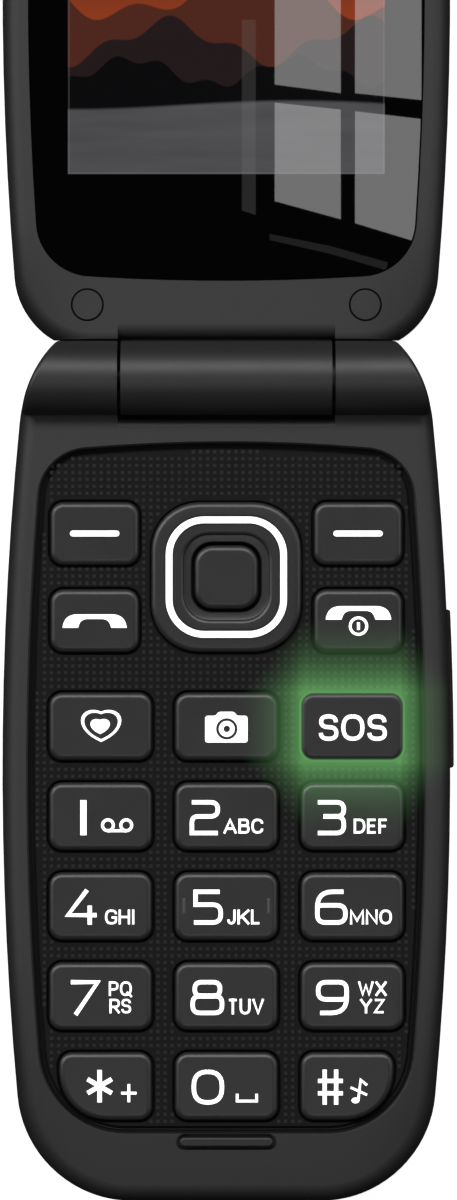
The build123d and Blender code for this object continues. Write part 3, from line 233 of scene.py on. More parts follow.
@dataclass(frozen=True)
class SosGlow:
    """Green light that spills out of the gap round the SOS key."""

    centre: Span = (14.57, -40.34)
    half: Span = (5.6, 4.02)
    reach: Span = (2.5, 2.9)
    tail: float = 0.06
    peak: Colour = (0.098, 0.30, 0.092)
    wall: Span = (23.6, 24.4)
    wall_top: Span = (10.2, 11.3)
    depth: Span = (7.0, 8.5)

    def colour(self, tree: Tree, gain: float) -> Val:
        """Green that fades with the distance from the key's outline, on the upper faces only.

        Args:
            tree: tree of the lit surface.
            gain: share of the light that this surface takes up.

        Returns:
            The colour of the spilt light.
        """
        x, y, z = tree.where()
        dx = (abs(x - self.centre[0]) - self.half[0]).most(0.0)
        dy = (abs(y - self.centre[1]) - self.half[1]).most(0.0)
        fade = (dx * (-1.0 / self.reach[0]) - dy * (1.0 / self.reach[1])).exp()
        wall = x.step(*self.wall) * (1.0 - z.step(*self.wall_top))
        fade = (fade * (1.0 + self.tail) - self.tail).most(0.0) * z.step(*self.depth) * (1.0 - wall)
        return tree.mix(fade, BLACK, tinted(self.peak, gain))


@dataclass(frozen=True)
class Crown:
    """Slow fall of the housings' faces towards their outline, the chin and the corners, in millimetres.

    The distance e is the fourth root of (x / width)^4 + (end / length)^4, where end is how far y lies past the straight
    part, and the fall grows with the square of what e exceeds the start. The chin adds a square of its own. The lid's
    and the base's corners add the cube of how far x lies outward, times a square along y.
    """

    width: float = 26.0
    straight: float = 48.0
    length: float = 47.5
    start: float = 0.8
    fall: float = 0.22
    chin: Triple = (70.0, 25.0, 1.3)
    outward: Span = (10.0, 14.0)
    hinge: Triple = (18.0, 13.5, 1.9)
    toe: Triple = (62.0, 26.0, 1.2)
    lid_edge: Span = (4.3, 4.6)

    def height(self, tree: Tree) -> Val:
        """The height of the faces.

        Args:
            tree: tree of the surface.

        Returns:
            The height, nought in the middle of the faces.
        """
        x, y, _ = tree.where()
        end = (abs(y) - self.straight).most(0.0) / self.length
        e = ((abs(x) / self.width) ** 4.0 + end**4.0) ** 0.25
        rim = ((e - self.start) / (1.0 - self.start)).most(0.0)
        chin = (y * -1.0 - self.chin[0]).most(0.0) / self.chin[1]
        outward = ((abs(x) - self.outward[0]) / self.outward[1]).most(0.0)
        hinge = ((self.hinge[0] - y) / self.hinge[1]).most(0.0).least(1.0)
        toe = (y * -1.0 - self.toe[0]).most(0.0) / self.toe[1]
        corner = hinge * hinge * y.step(*self.lid_edge) * self.hinge[2] + toe * toe * self.toe[2]
        return rim * rim * -self.fall - chin * chin * self.chin[2] - outward**3.0 * corner


@dataclass(frozen=True)
class Finish:
    """A named finish that makes its material once."""

    name: str

    def material(self) -> bpy.types.Material:
        """Make the material at first use, and find it again later.

        Returns:
            The finish's material.
        """
        found = bpy.data.materials.get(self.name)
        if found is None:
            found = bpy.data.materials.new(self.name)
            self.lay(Tree(found))
        return found

    def lay(self, tree: Tree) -> None:
        """Lay out the nodes of the finish."""
        raise NotImplementedError


@dataclass(frozen=True)
class Moulded(Finish):
    """Moulded plastic or rubber: fine spark grain, faint mottling, worn patches of gloss."""

    colour: Colour = grey(0.05)
    rough: float = 0.42
    grain: float = 0.16
    depth: float = 0.006
    mottle: float = 0.10
    gloss: float = 0.5
    glow: float = 0.0
    lit: Colour | None = None
    # Painted glow: a colour given here is emitted on the sides below the given heights, standing in for the light from
    # the gap round the key.
    rim: Colour | None = None
    glow_rim_top: Span = (11.25, 11.62)
    # Painted shade: below the given heights the colour turns to the near-black shade colour, standing in for the shade
    # in the gaps round the keys.
    painted_shade_top: Span | None = None
    painted_shade: Colour = grey(0.0006)
    crown: Crown | None = None
    barrel: float = 0.0
    barrel_edge: Span = (4.15, 4.45)
    barrel_foot: Span = (9.0, 10.0)

    def lay(self, tree: Tree) -> None:
        """Grain in the bump, clouds in colour and roughness, painted shade low on the sides where asked, and light
        where there is any.

        Args:
            tree: tree of the surface.
        """
        cloud = tree.noise(7.0, 3.0)
        speck = tree.noise(self.grain, 2.0)
        shade = (cloud - 0.5) * self.mottle + (speck - 0.5) * self.mottle * 1.5
        dark, light = (tinted(self.colour, 1.0 + s * self.mottle) for s in (-1.0, 1.0))
        colour = tree.mix((shade + 0.5).least(1.0).most(0.0), dark, light)
        rough = (cloud - 0.5) * 0.10 + (speck - 0.5) * 0.08 + self.worn(tree)
        # Painted shade: below the key's top the colour goes near black, standing in for the shade in the gaps.
        if self.painted_shade_top:
            sunk = 1.0 - tree.where()[2].step(*self.painted_shade_top)
            colour, rough = tree.mix(sunk, colour, self.painted_shade), rough + sunk * 0.4
        height = speck * self.depth + (self.crown.height(tree) if self.crown else 0.0)
        tree.set(Base_Color=colour, Roughness=rough, Normal=tree.bump(height), Specular_IOR_Level=self.gloss)
        if self.glow:
            tree.set(Emission_Color=SosGlow().colour(tree, self.glow), Emission_Strength=1.0)
        elif self.lit:
            tree.set(Emission_Color=tree.mix(cloud, self.lit, tinted(self.lit, 0.9)), Emission_Strength=1.0)
        # Painted glow: the sides below the top emit green, standing in for the light from the gap round the key.
        elif self.rim:
            up = tree.where()[2].step(*self.glow_rim_top)
            tree.set(Emission_Color=tree.mix(up, self.rim, BLACK), Emission_Strength=1.0)

    def worn(self, tree: Tree) -> Any:
        """Roughness of the surface, lower on the hinge barrel where thumbs polish it.

        Args:
            tree: tree of the surface.

        Returns:
            The roughness, a number or a value that changes with the place.
        """
        if not self.barrel:
            return self.rough
        _, y, z = tree.where()
        on_barrel = (1.0 - abs(y).step(*self.barrel_edge)) * z.step(*self.barrel_foot)
        return on_barrel * (self.barrel - self.rough) + self.rough


@dataclass(frozen=True)
class Metal(Finish):
    """Drawn or plated metal with fine lines along one direction."""

    colour: Colour = grey(0.6)
    rough: float = 0.3
    lines: Triple = (14.0, 1.0, 1.0)

    def lay(self, tree: Tree) -> None:
        """Drawn-out noise in roughness and bump, with a slight change of tone.

        Args:
            tree: tree of the surface.
        """
        line = tree.noise(0.12, 3.0, self.lines)
        tone = tree.noise(4.0, 2.0)
        tree.set(
            Base_Color=tree.mix((tone + line) * 0.5, tinted(self.colour, 0.82), self.colour),
            Metallic=1.0,
            Roughness=(line - 0.5) * 0.2 + self.rough,
            Normal=tree.bump(line, 0.003),
        )


@dataclass(frozen=True)
class Laminate(Finish):
    """Circuit board: solder mask over copper runs on a fine grid."""

    mask: Colour = (0.012, 0.10, 0.05)
    copper: Colour = (0.035, 0.20, 0.09)
    pitch: float = 1.3

    def lay(self, tree: Tree) -> None:
        """Runs in two directions, switched from patch to patch by broad noise.

        Args:
            tree: tree of the surface.
        """
        x, y, _ = tree.where()
        patch = tree.noise(6.0, 0.0).step(0.47, 0.53)
        run_x, run_y = (c.stripes(self.pitch, 0.22, 0.27) for c in (x, y))
        run = run_x * patch + run_y * (1.0 - patch)
        tree.set(
            Base_Color=tree.mix(run, self.mask, self.copper),
            Roughness=0.42 - run * 0.12,
            Normal=tree.bump(run, 0.02),
        )


@dataclass(frozen=True)
class Film(Finish):
    """Thin film with printed or etched runs along the strip."""

    colour: Colour = (0.42, 0.15, 0.02)
    run: Colour = (0.55, 0.27, 0.07)
    pitch: float = 0.5
    rough: float = 0.35

    def lay(self, tree: Tree) -> None:
        """Straight runs along y, softened by a cloud of gloss.

        Args:
            tree: tree of the surface.
        """
        x, _, _ = tree.where()
        line = x.stripes(self.pitch, 0.2, 0.3)
        cloud = tree.noise(3.0, 2.0)
        tree.set(
            Base_Color=tree.mix(line * 0.7 + cloud * 0.2, self.colour, self.run),
            Roughness=(cloud - 0.5) * 0.2 + self.rough,
            Normal=tree.bump(line, 0.01),
        )


@dataclass(frozen=True)
class LensPicture(Finish):
    """Black gloss lens with the lit display behind it, showing a plain evening landscape."""

    side: float = 18.35
    low: float = 23.63
    high: float = 72.6
    dusk: Span = (34.0, 26.0)
    sun: Span = (4.0, 49.0)
    sun_rim: Span = (6.2, 6.5)
    shore: float = 31.6
    ridges: tuple[tuple[float, float, float, float, float, float, Colour], ...] = (
        (44.5, 2.4, 0.21, 1.0, 1.1, 0.63, (0.075, 0.02, 0.012)),
        (39.0, 2.2, 0.27, 3.4, 0.8, 0.81, (0.016, 0.010, 0.010)),
        (35.5, 1.5, 0.33, 5.2, 0.5, 1.17, (0.0025, 0.0025, 0.003)),
    )

    def lay(self, tree: Tree) -> None:
        """Bands of mist, dark ridges and a red sun, each a height line made of sines.

        Args:
            tree: tree of the surface.
        """
        x, y, _ = tree.where()
        cloud = tree.noise(9.0, 3.0, (3.0, 1.0, 1.0))
        streak = tree.noise(1.4, 2.0, (9.0, 1.0, 1.0))
        sky_share = ((y - self.dusk[0]) / self.dusk[1]).most(0.0).least(1.0)
        sky = tree.mix(sky_share, (0.36, 0.055, 0.012), (0.008, 0.008, 0.012))
        sun_x, sun_y = x - self.sun[0], y - self.sun[1]
        sun = (sun_x * sun_x + sun_y * sun_y) ** 0.5
        picture = tree.mix(1.0 - sun.step(*self.sun_rim), sky, (0.62, 0.16, 0.05))
        for base, tall, turn, phase, small, quick, colour in self.ridges:
            line = (x * turn + phase).sin() * tall + (x * quick + phase * 2.0).sin() * small + base
            picture = tree.mix((line - y).step(-0.12, 0.12), picture, colour)
        shore = (x * 0.12 + 0.6).sin() * 0.5 + self.shore
        water = tree.mix(streak * 0.6 + cloud * 0.4, (0.045, 0.045, 0.050), (0.098, 0.096, 0.103))
        picture = tree.mix((shore - y).step(-0.25, 0.25), picture, water)
        edge = (abs(x) - self.side).most(y - self.high).most(self.low - y)
        shown = 1.0 - edge.step(-0.05, 0.05)
        border = (1.0 - abs(edge + 0.12).step(0.05, 0.12)) * 0.03
        emission = tree.mix(border, picture, WHITE)
        dust = tree.noise(0.5, 2.0)
        tree.set(
            Base_Color=tree.mix(cloud, grey(0.0003), grey(0.0006)),
            Roughness=dust * 0.008 + 0.003,
            Emission_Color=tree.mix(shown, BLACK, emission),
            Emission_Strength=1.0,
            Specular_IOR_Level=0.5,
        )


@dataclass(frozen=True)
class Ink(Finish):
    """White legend, moulded through the key and lit from behind."""

    def lay(self, tree: Tree) -> None:
        """White with a faint clouding of the light behind it.

        Args:
            tree: tree of the surface.
        """
        cloud = tree.noise(1.2, 2.0)
        tree.set(
            Base_Color=tree.mix(cloud, grey(0.80), grey(0.92)),
            Roughness=(cloud - 0.5) * 0.2 + 0.5,
            Emission_Color=tree.mix(cloud, grey(0.92), WHITE),
            Emission_Strength=1.0,
        )


class Dress(Enum):
    """The finishes of the phone's pieces."""

    SHELL = Moulded("charcoal_shell", grey(0.018), 0.55, glow=0.62, barrel=0.47, crown=Crown())
    # Key caps: painted shade below their tops, standing in for the shade in the gaps round them.
    KEYCAP = Moulded("charcoal_keycap", grey(0.020), 0.36, depth=0.004, glow=0.9, painted_shade_top=(10.9, 11.3))
    TICK = Moulded("tick_ridge", grey(0.075), 0.45, depth=0.002)
    # The SOS cap's sides carry painted green glow from the gap.
    SOS_CAP = Moulded("charcoal_sos_cap", (0.0205, 0.0194, 0.0211), 0.38, depth=0.004, rim=SosGlow.peak)
    PANEL = Moulded("dark_panel", grey(0.006), 0.6, gloss=0.12, glow=0.95)
    DOTS = Moulded("panel_dots", grey(0.010), 0.55, gloss=0.3, glow=1.0)
    # Black finish for the real seams round the screw caps and for the painted shade round the key openings.
    SEAM_AND_SHADE = Moulded("black_seam_and_painted_shade", grey(0.0008), 0.8, gloss=0.05, glow=0.9)
    MAT = Moulded("keypad_mat", grey(0.006), 0.7, 0.10, 0.010, 0.15, 0.1, glow=1.3)
    RUBBER = Moulded("soft_rubber", grey(0.012), 0.42, 0.10, 0.006, 0.15, 0.5)
    BUSH = Moulded("acetal_bush", grey(0.010), 0.5)
    PART = Moulded("moulded_part", (0.02, 0.02, 0.022), 0.45)
    CELL = Moulded("cell_wrap", (0.16, 0.17, 0.18), 0.35, 0.3, 0.01)
    LAMP = Moulded("lamp_resin", (0.20, 0.60, 0.22), 0.3, lit=(0.02, 0.12, 0.02))
    LIGHT_RING = Moulded("lit_ring", grey(0.85), 0.4, lit=grey(0.95))
    WHITE_FILM = Moulded("reflector_film", grey(0.78), 0.5)
    PANE = Moulded("camera_pane", (0.004, 0.004, 0.005), 0.06, 0.5, 0.0005)
    STEEL = Metal("plated_steel", (0.55, 0.55, 0.56), 0.30)
    SHAFT = Metal("blacked_shaft", (0.020, 0.020, 0.022), 0.45, (1.0, 14.0, 1.0))
    GOLD = Metal("gilt_contacts", (0.80, 0.55, 0.20), 0.28, (1.0, 10.0, 1.0))
    BOARD = Laminate("solder_mask")
    FLEX = Film("amber_flex")
    DOMES = Film("dome_film", (0.50, 0.50, 0.52), (0.66, 0.66, 0.68), 2.1, 0.3)
    LENS = LensPicture("display_lens")
    CRYSTAL = Film("display_glass", (0.02, 0.02, 0.025), (0.03, 0.03, 0.035), 0.2, 0.12)
    INK = Ink("white_legend")


# Shapes


@dataclass
class Shape:
    """Points in millimetres and the faces between them."""

    points: np.ndarray
    faces: list[list[int]]

    def __add__(self, other: "Shape") -> "Shape":
        """Both shapes in one."""
        shifted = [[i + len(self.points) for i in f] for f in other.faces]
        return Shape(np.vstack([self.points, other.points]), self.faces + shifted)


def joined(shapes: Iterable[Shape]) -> Shape:
    """All shapes in one, in their order."""
    return reduce(Shape.__add__, shapes)


def level(flat: np.ndarray, z: float) -> np.ndarray:
    """The points of a flat outline at one height."""
    return np.hstack([flat, np.full((len(flat), 1), z)])


def loft(sections: np.ndarray, closed: bool = False) -> Shape:
    """Skin over sections: point (i, j) is point j of section i, and j runs round.

    Args:
        sections: array of sections, points and x, y, z.
        closed: whether the last section joins the first again.

    Returns:
        Quads between neighbouring sections, with a flat face on each open end.
    """
    n, m = sections.shape[:2]
    i, j = np.meshgrid(np.arange(n if closed else n - 1), np.arange(m), indexing="ij")
    up, on = (i + 1) % n, (j + 1) % m
    quads = np.stack([i * m + j, i * m + on, up * m + on, up * m + j], -1).reshape(-1, 4).tolist()
    ends = [] if closed else [np.arange(m)[::-1].tolist(), (np.arange(m) + (n - 1) * m).tolist()]
    return Shape(sections.reshape(-1, 3), quads + ends)


def band(outer: np.ndarray, inner: np.ndarray, z: Span, closed: bool = False) -> Shape:
    """Flat band between two curves: each section is the box from outer to inner and from underside to top.

    Args:
        outer: points of the one edge, x and y.
        inner: points of the other edge, one for each outer point.
        z: heights of the underside and the top.
        closed: whether the band runs round.

    Returns:
        The band as a closed solid.
    """
    low, high = z
    corners = [level(e, h) for e, h in ((outer, low), (outer, high), (inner, high), (inner, low))]
    return loft(np.stack(corners, 1), closed)


def plate(outline: np.ndarray, z: Span) -> Shape:
    """Flat plate: the outline at two heights, with flat faces."""
    return loft(np.stack([level(outline, h) for h in z]))


def lengths(line: np.ndarray) -> np.ndarray:
    """Length of a line up to each of its points."""
    return np.r_[0.0, np.cumsum(np.linalg.norm(np.diff(line, axis=0), axis=1))]


def sampled(line: np.ndarray, at: np.ndarray) -> np.ndarray:
    """Points of a line at given lengths along it, x and y."""
    return np.stack([np.interp(at, lengths(line), line[:, k]) for k in (0, 1)], 1)


def spaced(loop: np.ndarray, count: int) -> np.ndarray:
    """Points set at equal steps along a closed loop."""
    closed = np.vstack([loop, loop[:1]])
    return sampled(closed, np.linspace(0.0, lengths(closed)[-1], count, endpoint=False))


def eased(path: Sequence[Triple] | np.ndarray, steps: int = 7) -> np.ndarray:
    """Round the corners of a path: each corner becomes the parabola that touches both its sides.

    A rounding uses at most half of a side between two corners, and all of a side that ends the path.

    Args:
        path: corners as x, y and how far along its sides the rounding reaches.
        steps: points on each rounded corner.

    Returns:
        Points of the rounded path, x and y.
    """
    path = np.array(path, float)
    p, reach = path[:, :2], path[1:-1, 2:3]
    back, on = p[:-2] - p[1:-1], p[2:] - p[1:-1]
    long_back, long_on = (np.linalg.norm(s, axis=1, keepdims=True) for s in (back, on))
    room_back, room_on = long_back * 0.5, long_on * 0.5
    room_back[:1], room_on[-1:] = long_back[:1], long_on[-1:]
    a = p[1:-1] + back / long_back * np.minimum(reach, room_back)
    b = p[1:-1] + on / long_on * np.minimum(reach, room_on)
    c = p[1:-1]
    t = np.linspace(0.0, 1.0, steps)[None, :, None]
    bend = (1 - t) ** 2 * a[:, None] + 2 * t * (1 - t) * c[:, None] + t**2 * b[:, None]
    line = np.vstack([p[:1], bend.reshape(-1, 2), p[-1:]])
    apart = 1e-5
    keep = np.r_[True, np.linalg.norm(np.diff(line, axis=0), axis=1) > apart]
    return line[keep]


def ribbon(line: Sequence[Span] | np.ndarray, width: float, z: Span, round_ends: bool = False) -> Shape:
    """Stroke of even width: each point moves half the width to both sides, along the corner's mitre.

    Args:
        line: points of the stroke's middle, x and y.
        width: width of the stroke.
        z: heights of the underside and the top.
        round_ends: whether the ends narrow along a half circle.

    Returns:
        The stroke as a closed solid.
    """
    line, half, least_lean, tip = np.array(line, float), width / 2, 0.6, 0.002
    run = lengths(line)
    if round_ends:
        cut = half * (1 - np.cos(np.linspace(0.0, math.pi / 2, 6)))
        run = np.unique(np.r_[run, cut, run[-1] - cut].round(6))
        line = sampled(line, run)
    way = np.diff(line, axis=0) / np.diff(run)[:, None]
    side = np.stack([-way[:, 1], way[:, 0]], 1)
    mitre = np.vstack([side[:1], side[:-1] + side[1:], side[-1:]])
    mitre /= np.linalg.norm(mitre, axis=1, keepdims=True)
    lean = np.sum(mitre * np.vstack([side, side[-1:]]), 1, keepdims=True)
    reach = half / np.maximum(lean, least_lean)
    if round_ends:
        short = np.clip(np.minimum(run, run[-1] - run) / half, 0.0, 1.0)[:, None]
        reach = reach * np.sqrt(np.clip(1 - (1 - short) ** 2, tip, 1.0))
    return band(line + mitre * reach, line - mitre * reach, z)


def ridge(line: np.ndarray, width: float, z: Span) -> Shape:
    """Low roof over a straight stroke: a level foot outline and a narrower, shorter crown above it.

    Args:
        line: both ends of the stroke, x and y.
        width: width of the foot.
        z: heights of the foot and the crown.

    Returns:
        The ridge as a closed solid.
    """
    way = (line[1] - line[0]) / np.linalg.norm(line[1] - line[0])
    side = np.array((-way[1], way[0])) * width / 2
    share, corners = 0.3, ((0, 1), (0, -1), (1, -1), (1, 1))
    foot = np.stack([line[end] + side * hand for end, hand in corners])
    crown = np.stack([line[end] + way * width * (0.5 - end) + side * hand * share for end, hand in corners])
    return loft(np.stack([level(foot, z[0]), level(crown, z[1])]))


def circle(centre: Sequence[float], radius: float) -> np.ndarray:
    """Points round a circle, x and y."""
    a = np.linspace(0.0, 2 * math.pi, 40, endpoint=False)
    return np.stack([np.cos(a), np.sin(a)], 1) * radius + centre


def ring(centre: Sequence[float], outer: float, inner: float, z: Span) -> Shape:
    """Flat ring: two circles of one centre."""
    return band(circle(centre, outer), circle(centre, inner), z, closed=True)


def rounded(half: Sequence[float], corners: Sequence[float], grow: float = 0.0, steps: int = 9) -> np.ndarray:
    """Rounded rectangle: a quarter circle in each corner, all grown outwards by one distance.

    Args:
        half: half of the width and of the height.
        corners: radius of each corner, from the far right one round to the left.
        grow: distance by which the outline is grown, or set in if negative.
        steps: points in each corner.

    Returns:
        Points round the outline about its own middle, x and y.
    """
    least = 0.05
    radius = np.maximum(np.array(corners, float) + grow, least)[:, None, None]
    turn = np.arange(4)[:, None] * math.pi / 2 + np.linspace(0.0, math.pi / 2, steps)
    arc = np.stack([np.cos(turn), np.sin(turn)], -1) * radius
    return (SQUARE[:, None] * (np.array(half) + grow - radius) + arc).reshape(-1, 2)


def outside(x: np.ndarray, y: np.ndarray, half: Sequence[float], corner: float) -> np.ndarray:
    """Distance from a rounded rectangle about the origin, negative inside it."""
    qx, qy = np.abs(x) - half[0] + corner, np.abs(y) - half[1] + corner
    return np.hypot(np.maximum(qx, 0), np.maximum(qy, 0)) + np.minimum(np.maximum(qx, qy), 0) - corner


def piece(
    name: str, shape: Shape, body: str, dress: Dress, crease: float | None = None
) -> bpy.types.Object:
    """Make one piece of the phone from a shape.

    Args:
        name: name of the piece.
        shape: its points and faces, in millimetres.
        body: body that it rides on.
        dress: its finish.
        crease: angle in degrees above which an edge stays sharp on a smooth piece; none for flat faces.

    Returns:
        The new object.
    """
    mesh = bpy.data.meshes.new(name)
    mesh.from_pydata((shape.points * MM).tolist(), [], shape.faces)
    shell = bmesh.new()
    shell.from_mesh(mesh)
    bmesh.ops.recalc_face_normals(shell, faces=shell.faces)
    shell.to_mesh(mesh)
    shell.free()
    if crease is not None:
        mesh.shade_smooth()
        mesh.set_sharp_from_angle(angle=math.radians(crease))
    mesh.materials.append(dress.value.material())
    obj = bpy.data.objects.new(name, mesh)
    bpy.context.collection.objects.link(obj)
    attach(obj, body)
    log.info("piece %s on %s, %d faces", name, body, len(mesh.polygons))
    return obj


# Letters and signs on the keys


class Glyphs:
    """Strokes of the figures and letters, as the share of the height that the width takes and a text.

    In the text a slash parts two strokes and a blank two corners. A corner is x, y and, if it is rounded, how far the
    rounding reaches, all as shares of the sign's width and height.
    """

    O = ".5,1 1,1,.5 1,0,.5 0,0,.5 0,1,.5 .49,1"
    P = "0,0 0,1 1,1,.3 1,.44,.3 0,.44"
    shapes: dict[str, tuple[float, str]] = {
        "0": (0.92, ".5,1 1,1,.46 1,0,.46 0,0,.46 0,1,.46 .49,1"),
        "1": (0.19, ".5,0 .5,1"),
        "2": (0.82, "0,1 1,1,.24 1,.54,.24 0,.54,.2 0,0 1,0"),
        "3": (0.82, "0,1 1,1,.23 1,.54,.23 .22,.54/.22,.54 1,.54,.24 1,0,.24 0,0"),
        "4": (0.9, ".62,1 0,.24 1,.24/.76,.55 .76,0"),
        "5": (0.84, ".96,1 .06,1 .06,.58 1,.58,.26 1,0,.26 0,0"),
        "6": (0.84, ".93,1 0,1,.5 0,0,.26 1,0,.26 1,.56,.26 .02,.56,.16 0,.46"),
        "7": (0.84, "0,1 1,1 .22,0"),
        "8": (
            0.95,
            ".5,1 .93,1,.22 .93,.55,.22 .07,.55,.22 .07,1,.22 .49,1"
            "/.5,.55 1,.55,.24 1,0,.24 0,0,.24 0,.55,.24 .49,.55",
        ),
        "9": (0.84, ".07,0 1,0,.5 1,1,.26 0,1,.26 0,.44,.26 .98,.44,.16 1,.54"),
        "*": (1.0, ".5,0 .5,1/.0669873,.25 .9330127,.75/.0669873,.75 .9330127,.25"),
        "+": (1.0, "0,.5 1,.5/.5,0 .5,1"),
        "#": (0.78, ".27,0 .27,1/.73,0 .73,1/0,.7 1,.7/0,.3 1,.3"),
        "_": (2.3, "0,1 0,0 1,0 1,1"),
        "A": (0.78, "0,0 .5,1 1,0/.2,.3 .8,.3"),
        "B": (0.66, "0,.54 .92,.54,.25 .92,1,.25 0,1 0,0 .3,0/.2,0 1,0,.27 1,.54,.27 .2,.54"),
        "C": (0.7, "1,.7 1,1,.4 0,1,.5 0,0,.5 1,0,.4 1,.3"),
        "D": (0.7, ".5,0 0,0 0,1 1,1,.5 1,0,.5 .4,0"),
        "E": (0.58, "1,1 0,1 0,0 1,0/0,.52 .9,.52"),
        "F": (0.56, "1,1 0,1 0,0/0,.5 .88,.5"),
        "G": (0.74, "1,.72 1,1,.4 0,1,.5 0,0,.5 1,0,.4 1,.46 .55,.46"),
        "H": (0.7, "0,0 0,1/1,0 1,1/0,.5 1,.5"),
        "I": (0.2, ".5,0 .5,1"),
        "J": (0.5, "1,1 1,0,.4 0,0,.4 0,.3"),
        "K": (0.7, "0,0 0,1/1,1 .1,.4/.34,.56 1,0"),
        "L": (0.56, "0,1 0,0 1,0"),
        "M": (0.86, "0,0 0,1 .5,.2 1,1 1,0"),
        "N": (0.72, "0,0 0,1 1,0 1,1"),
        "O": (0.76, O),
        "P": (0.64, P),
        "Q": (0.78, O + "/.6,.24 1.03,-.1"),
        "R": (0.68, P + "/.48,.44 1,0"),
        "S": (0.64, ".97,.74 .97,1,.34 .02,1,.34 .02,.53,.3 1,.51,.3 1,0,.34 0,0,.34 0,.26"),
        "T": (0.64, "0,1 1,1/.5,1 .5,0"),
        "U": (0.7, "0,1 0,0,.42 1,0,.42 1,1"),
        "V": (0.74, "0,1 .5,0 1,1"),
        "W": (1.02, "0,1 .26,0 .5,.8 .74,0 1,1"),
        "X": (0.74, "0,0 1,1/0,1 1,0"),
        "Y": (0.72, "0,1 .5,.46 1,1/.5,.46 .5,0"),
        "Z": (0.66, "0,1 1,1 0,0 1,0"),
    }

    @classmethod
    def strokes(cls, sign: str) -> list[np.ndarray]:
        """The strokes of a sign: for each its corners as x, y and rounding."""
        texts = cls.shapes[sign][1].split("/")
        return [np.array([(*map(float, c.split(",")), 0.0)[:3] for c in text.split()]) for text in texts]


@dataclass(frozen=True)
class Mark:
    """One word, figure or sign: its text, the middle of its place on the key, and its size."""

    text: str
    x: float
    y: float
    width: float
    height: float = 1.72
    stroke: float = 0.27

    def shape(self, z: Span) -> Shape:
        """Set the text out along a line: each sign takes its share of the width, with even gaps.

        Args:
            z: heights of the underside and the top.

        Returns:
            The strokes of the whole text.
        """
        shares = np.array([Glyphs.shapes[c][0] for c in self.text])
        gap = self.stroke * 0.75
        fit = (self.width - gap * (len(shares) - 1)) / shares.sum()
        wide = shares * fit
        left = self.x - self.width / 2 + np.r_[0.0, np.cumsum(wide + gap)[:-1]]
        tall = self.height - self.stroke
        parts = []
        for sign, start, room in zip(self.text, left, wide):
            for path in Glyphs.strokes(sign):
                path = path * (max(room - self.stroke, 1e-4), tall, tall)
                path[:, :2] += (start + min(self.stroke, room) / 2, self.y - tall / 2)
                parts.append(ribbon(eased(self.stretch(path)), self.stroke, z))
        return joined(parts)

    def stretch(self, path: np.ndarray) -> np.ndarray:
        """Let the loose ends of upright and level strokes reach the edge of the text's box.

        Args:
            path: corners of one stroke.

        Returns:
            The stroke with its ends moved out by half a stroke where they stop at the box.
        """
        longer, upright, slack = path.copy(), 0.3, 1e-6
        for end, inner in ((0, 1), (-1, -2)):
            way = path[end, :2] - path[inner, :2]
            way /= np.linalg.norm(way)
            at_box = abs(path[end, 1] - self.y) > (self.height - self.stroke) / 2 - slack
            if abs(way[1]) > upright and at_box:
                longer[end, :2] += way * self.stroke / 2
        return longer


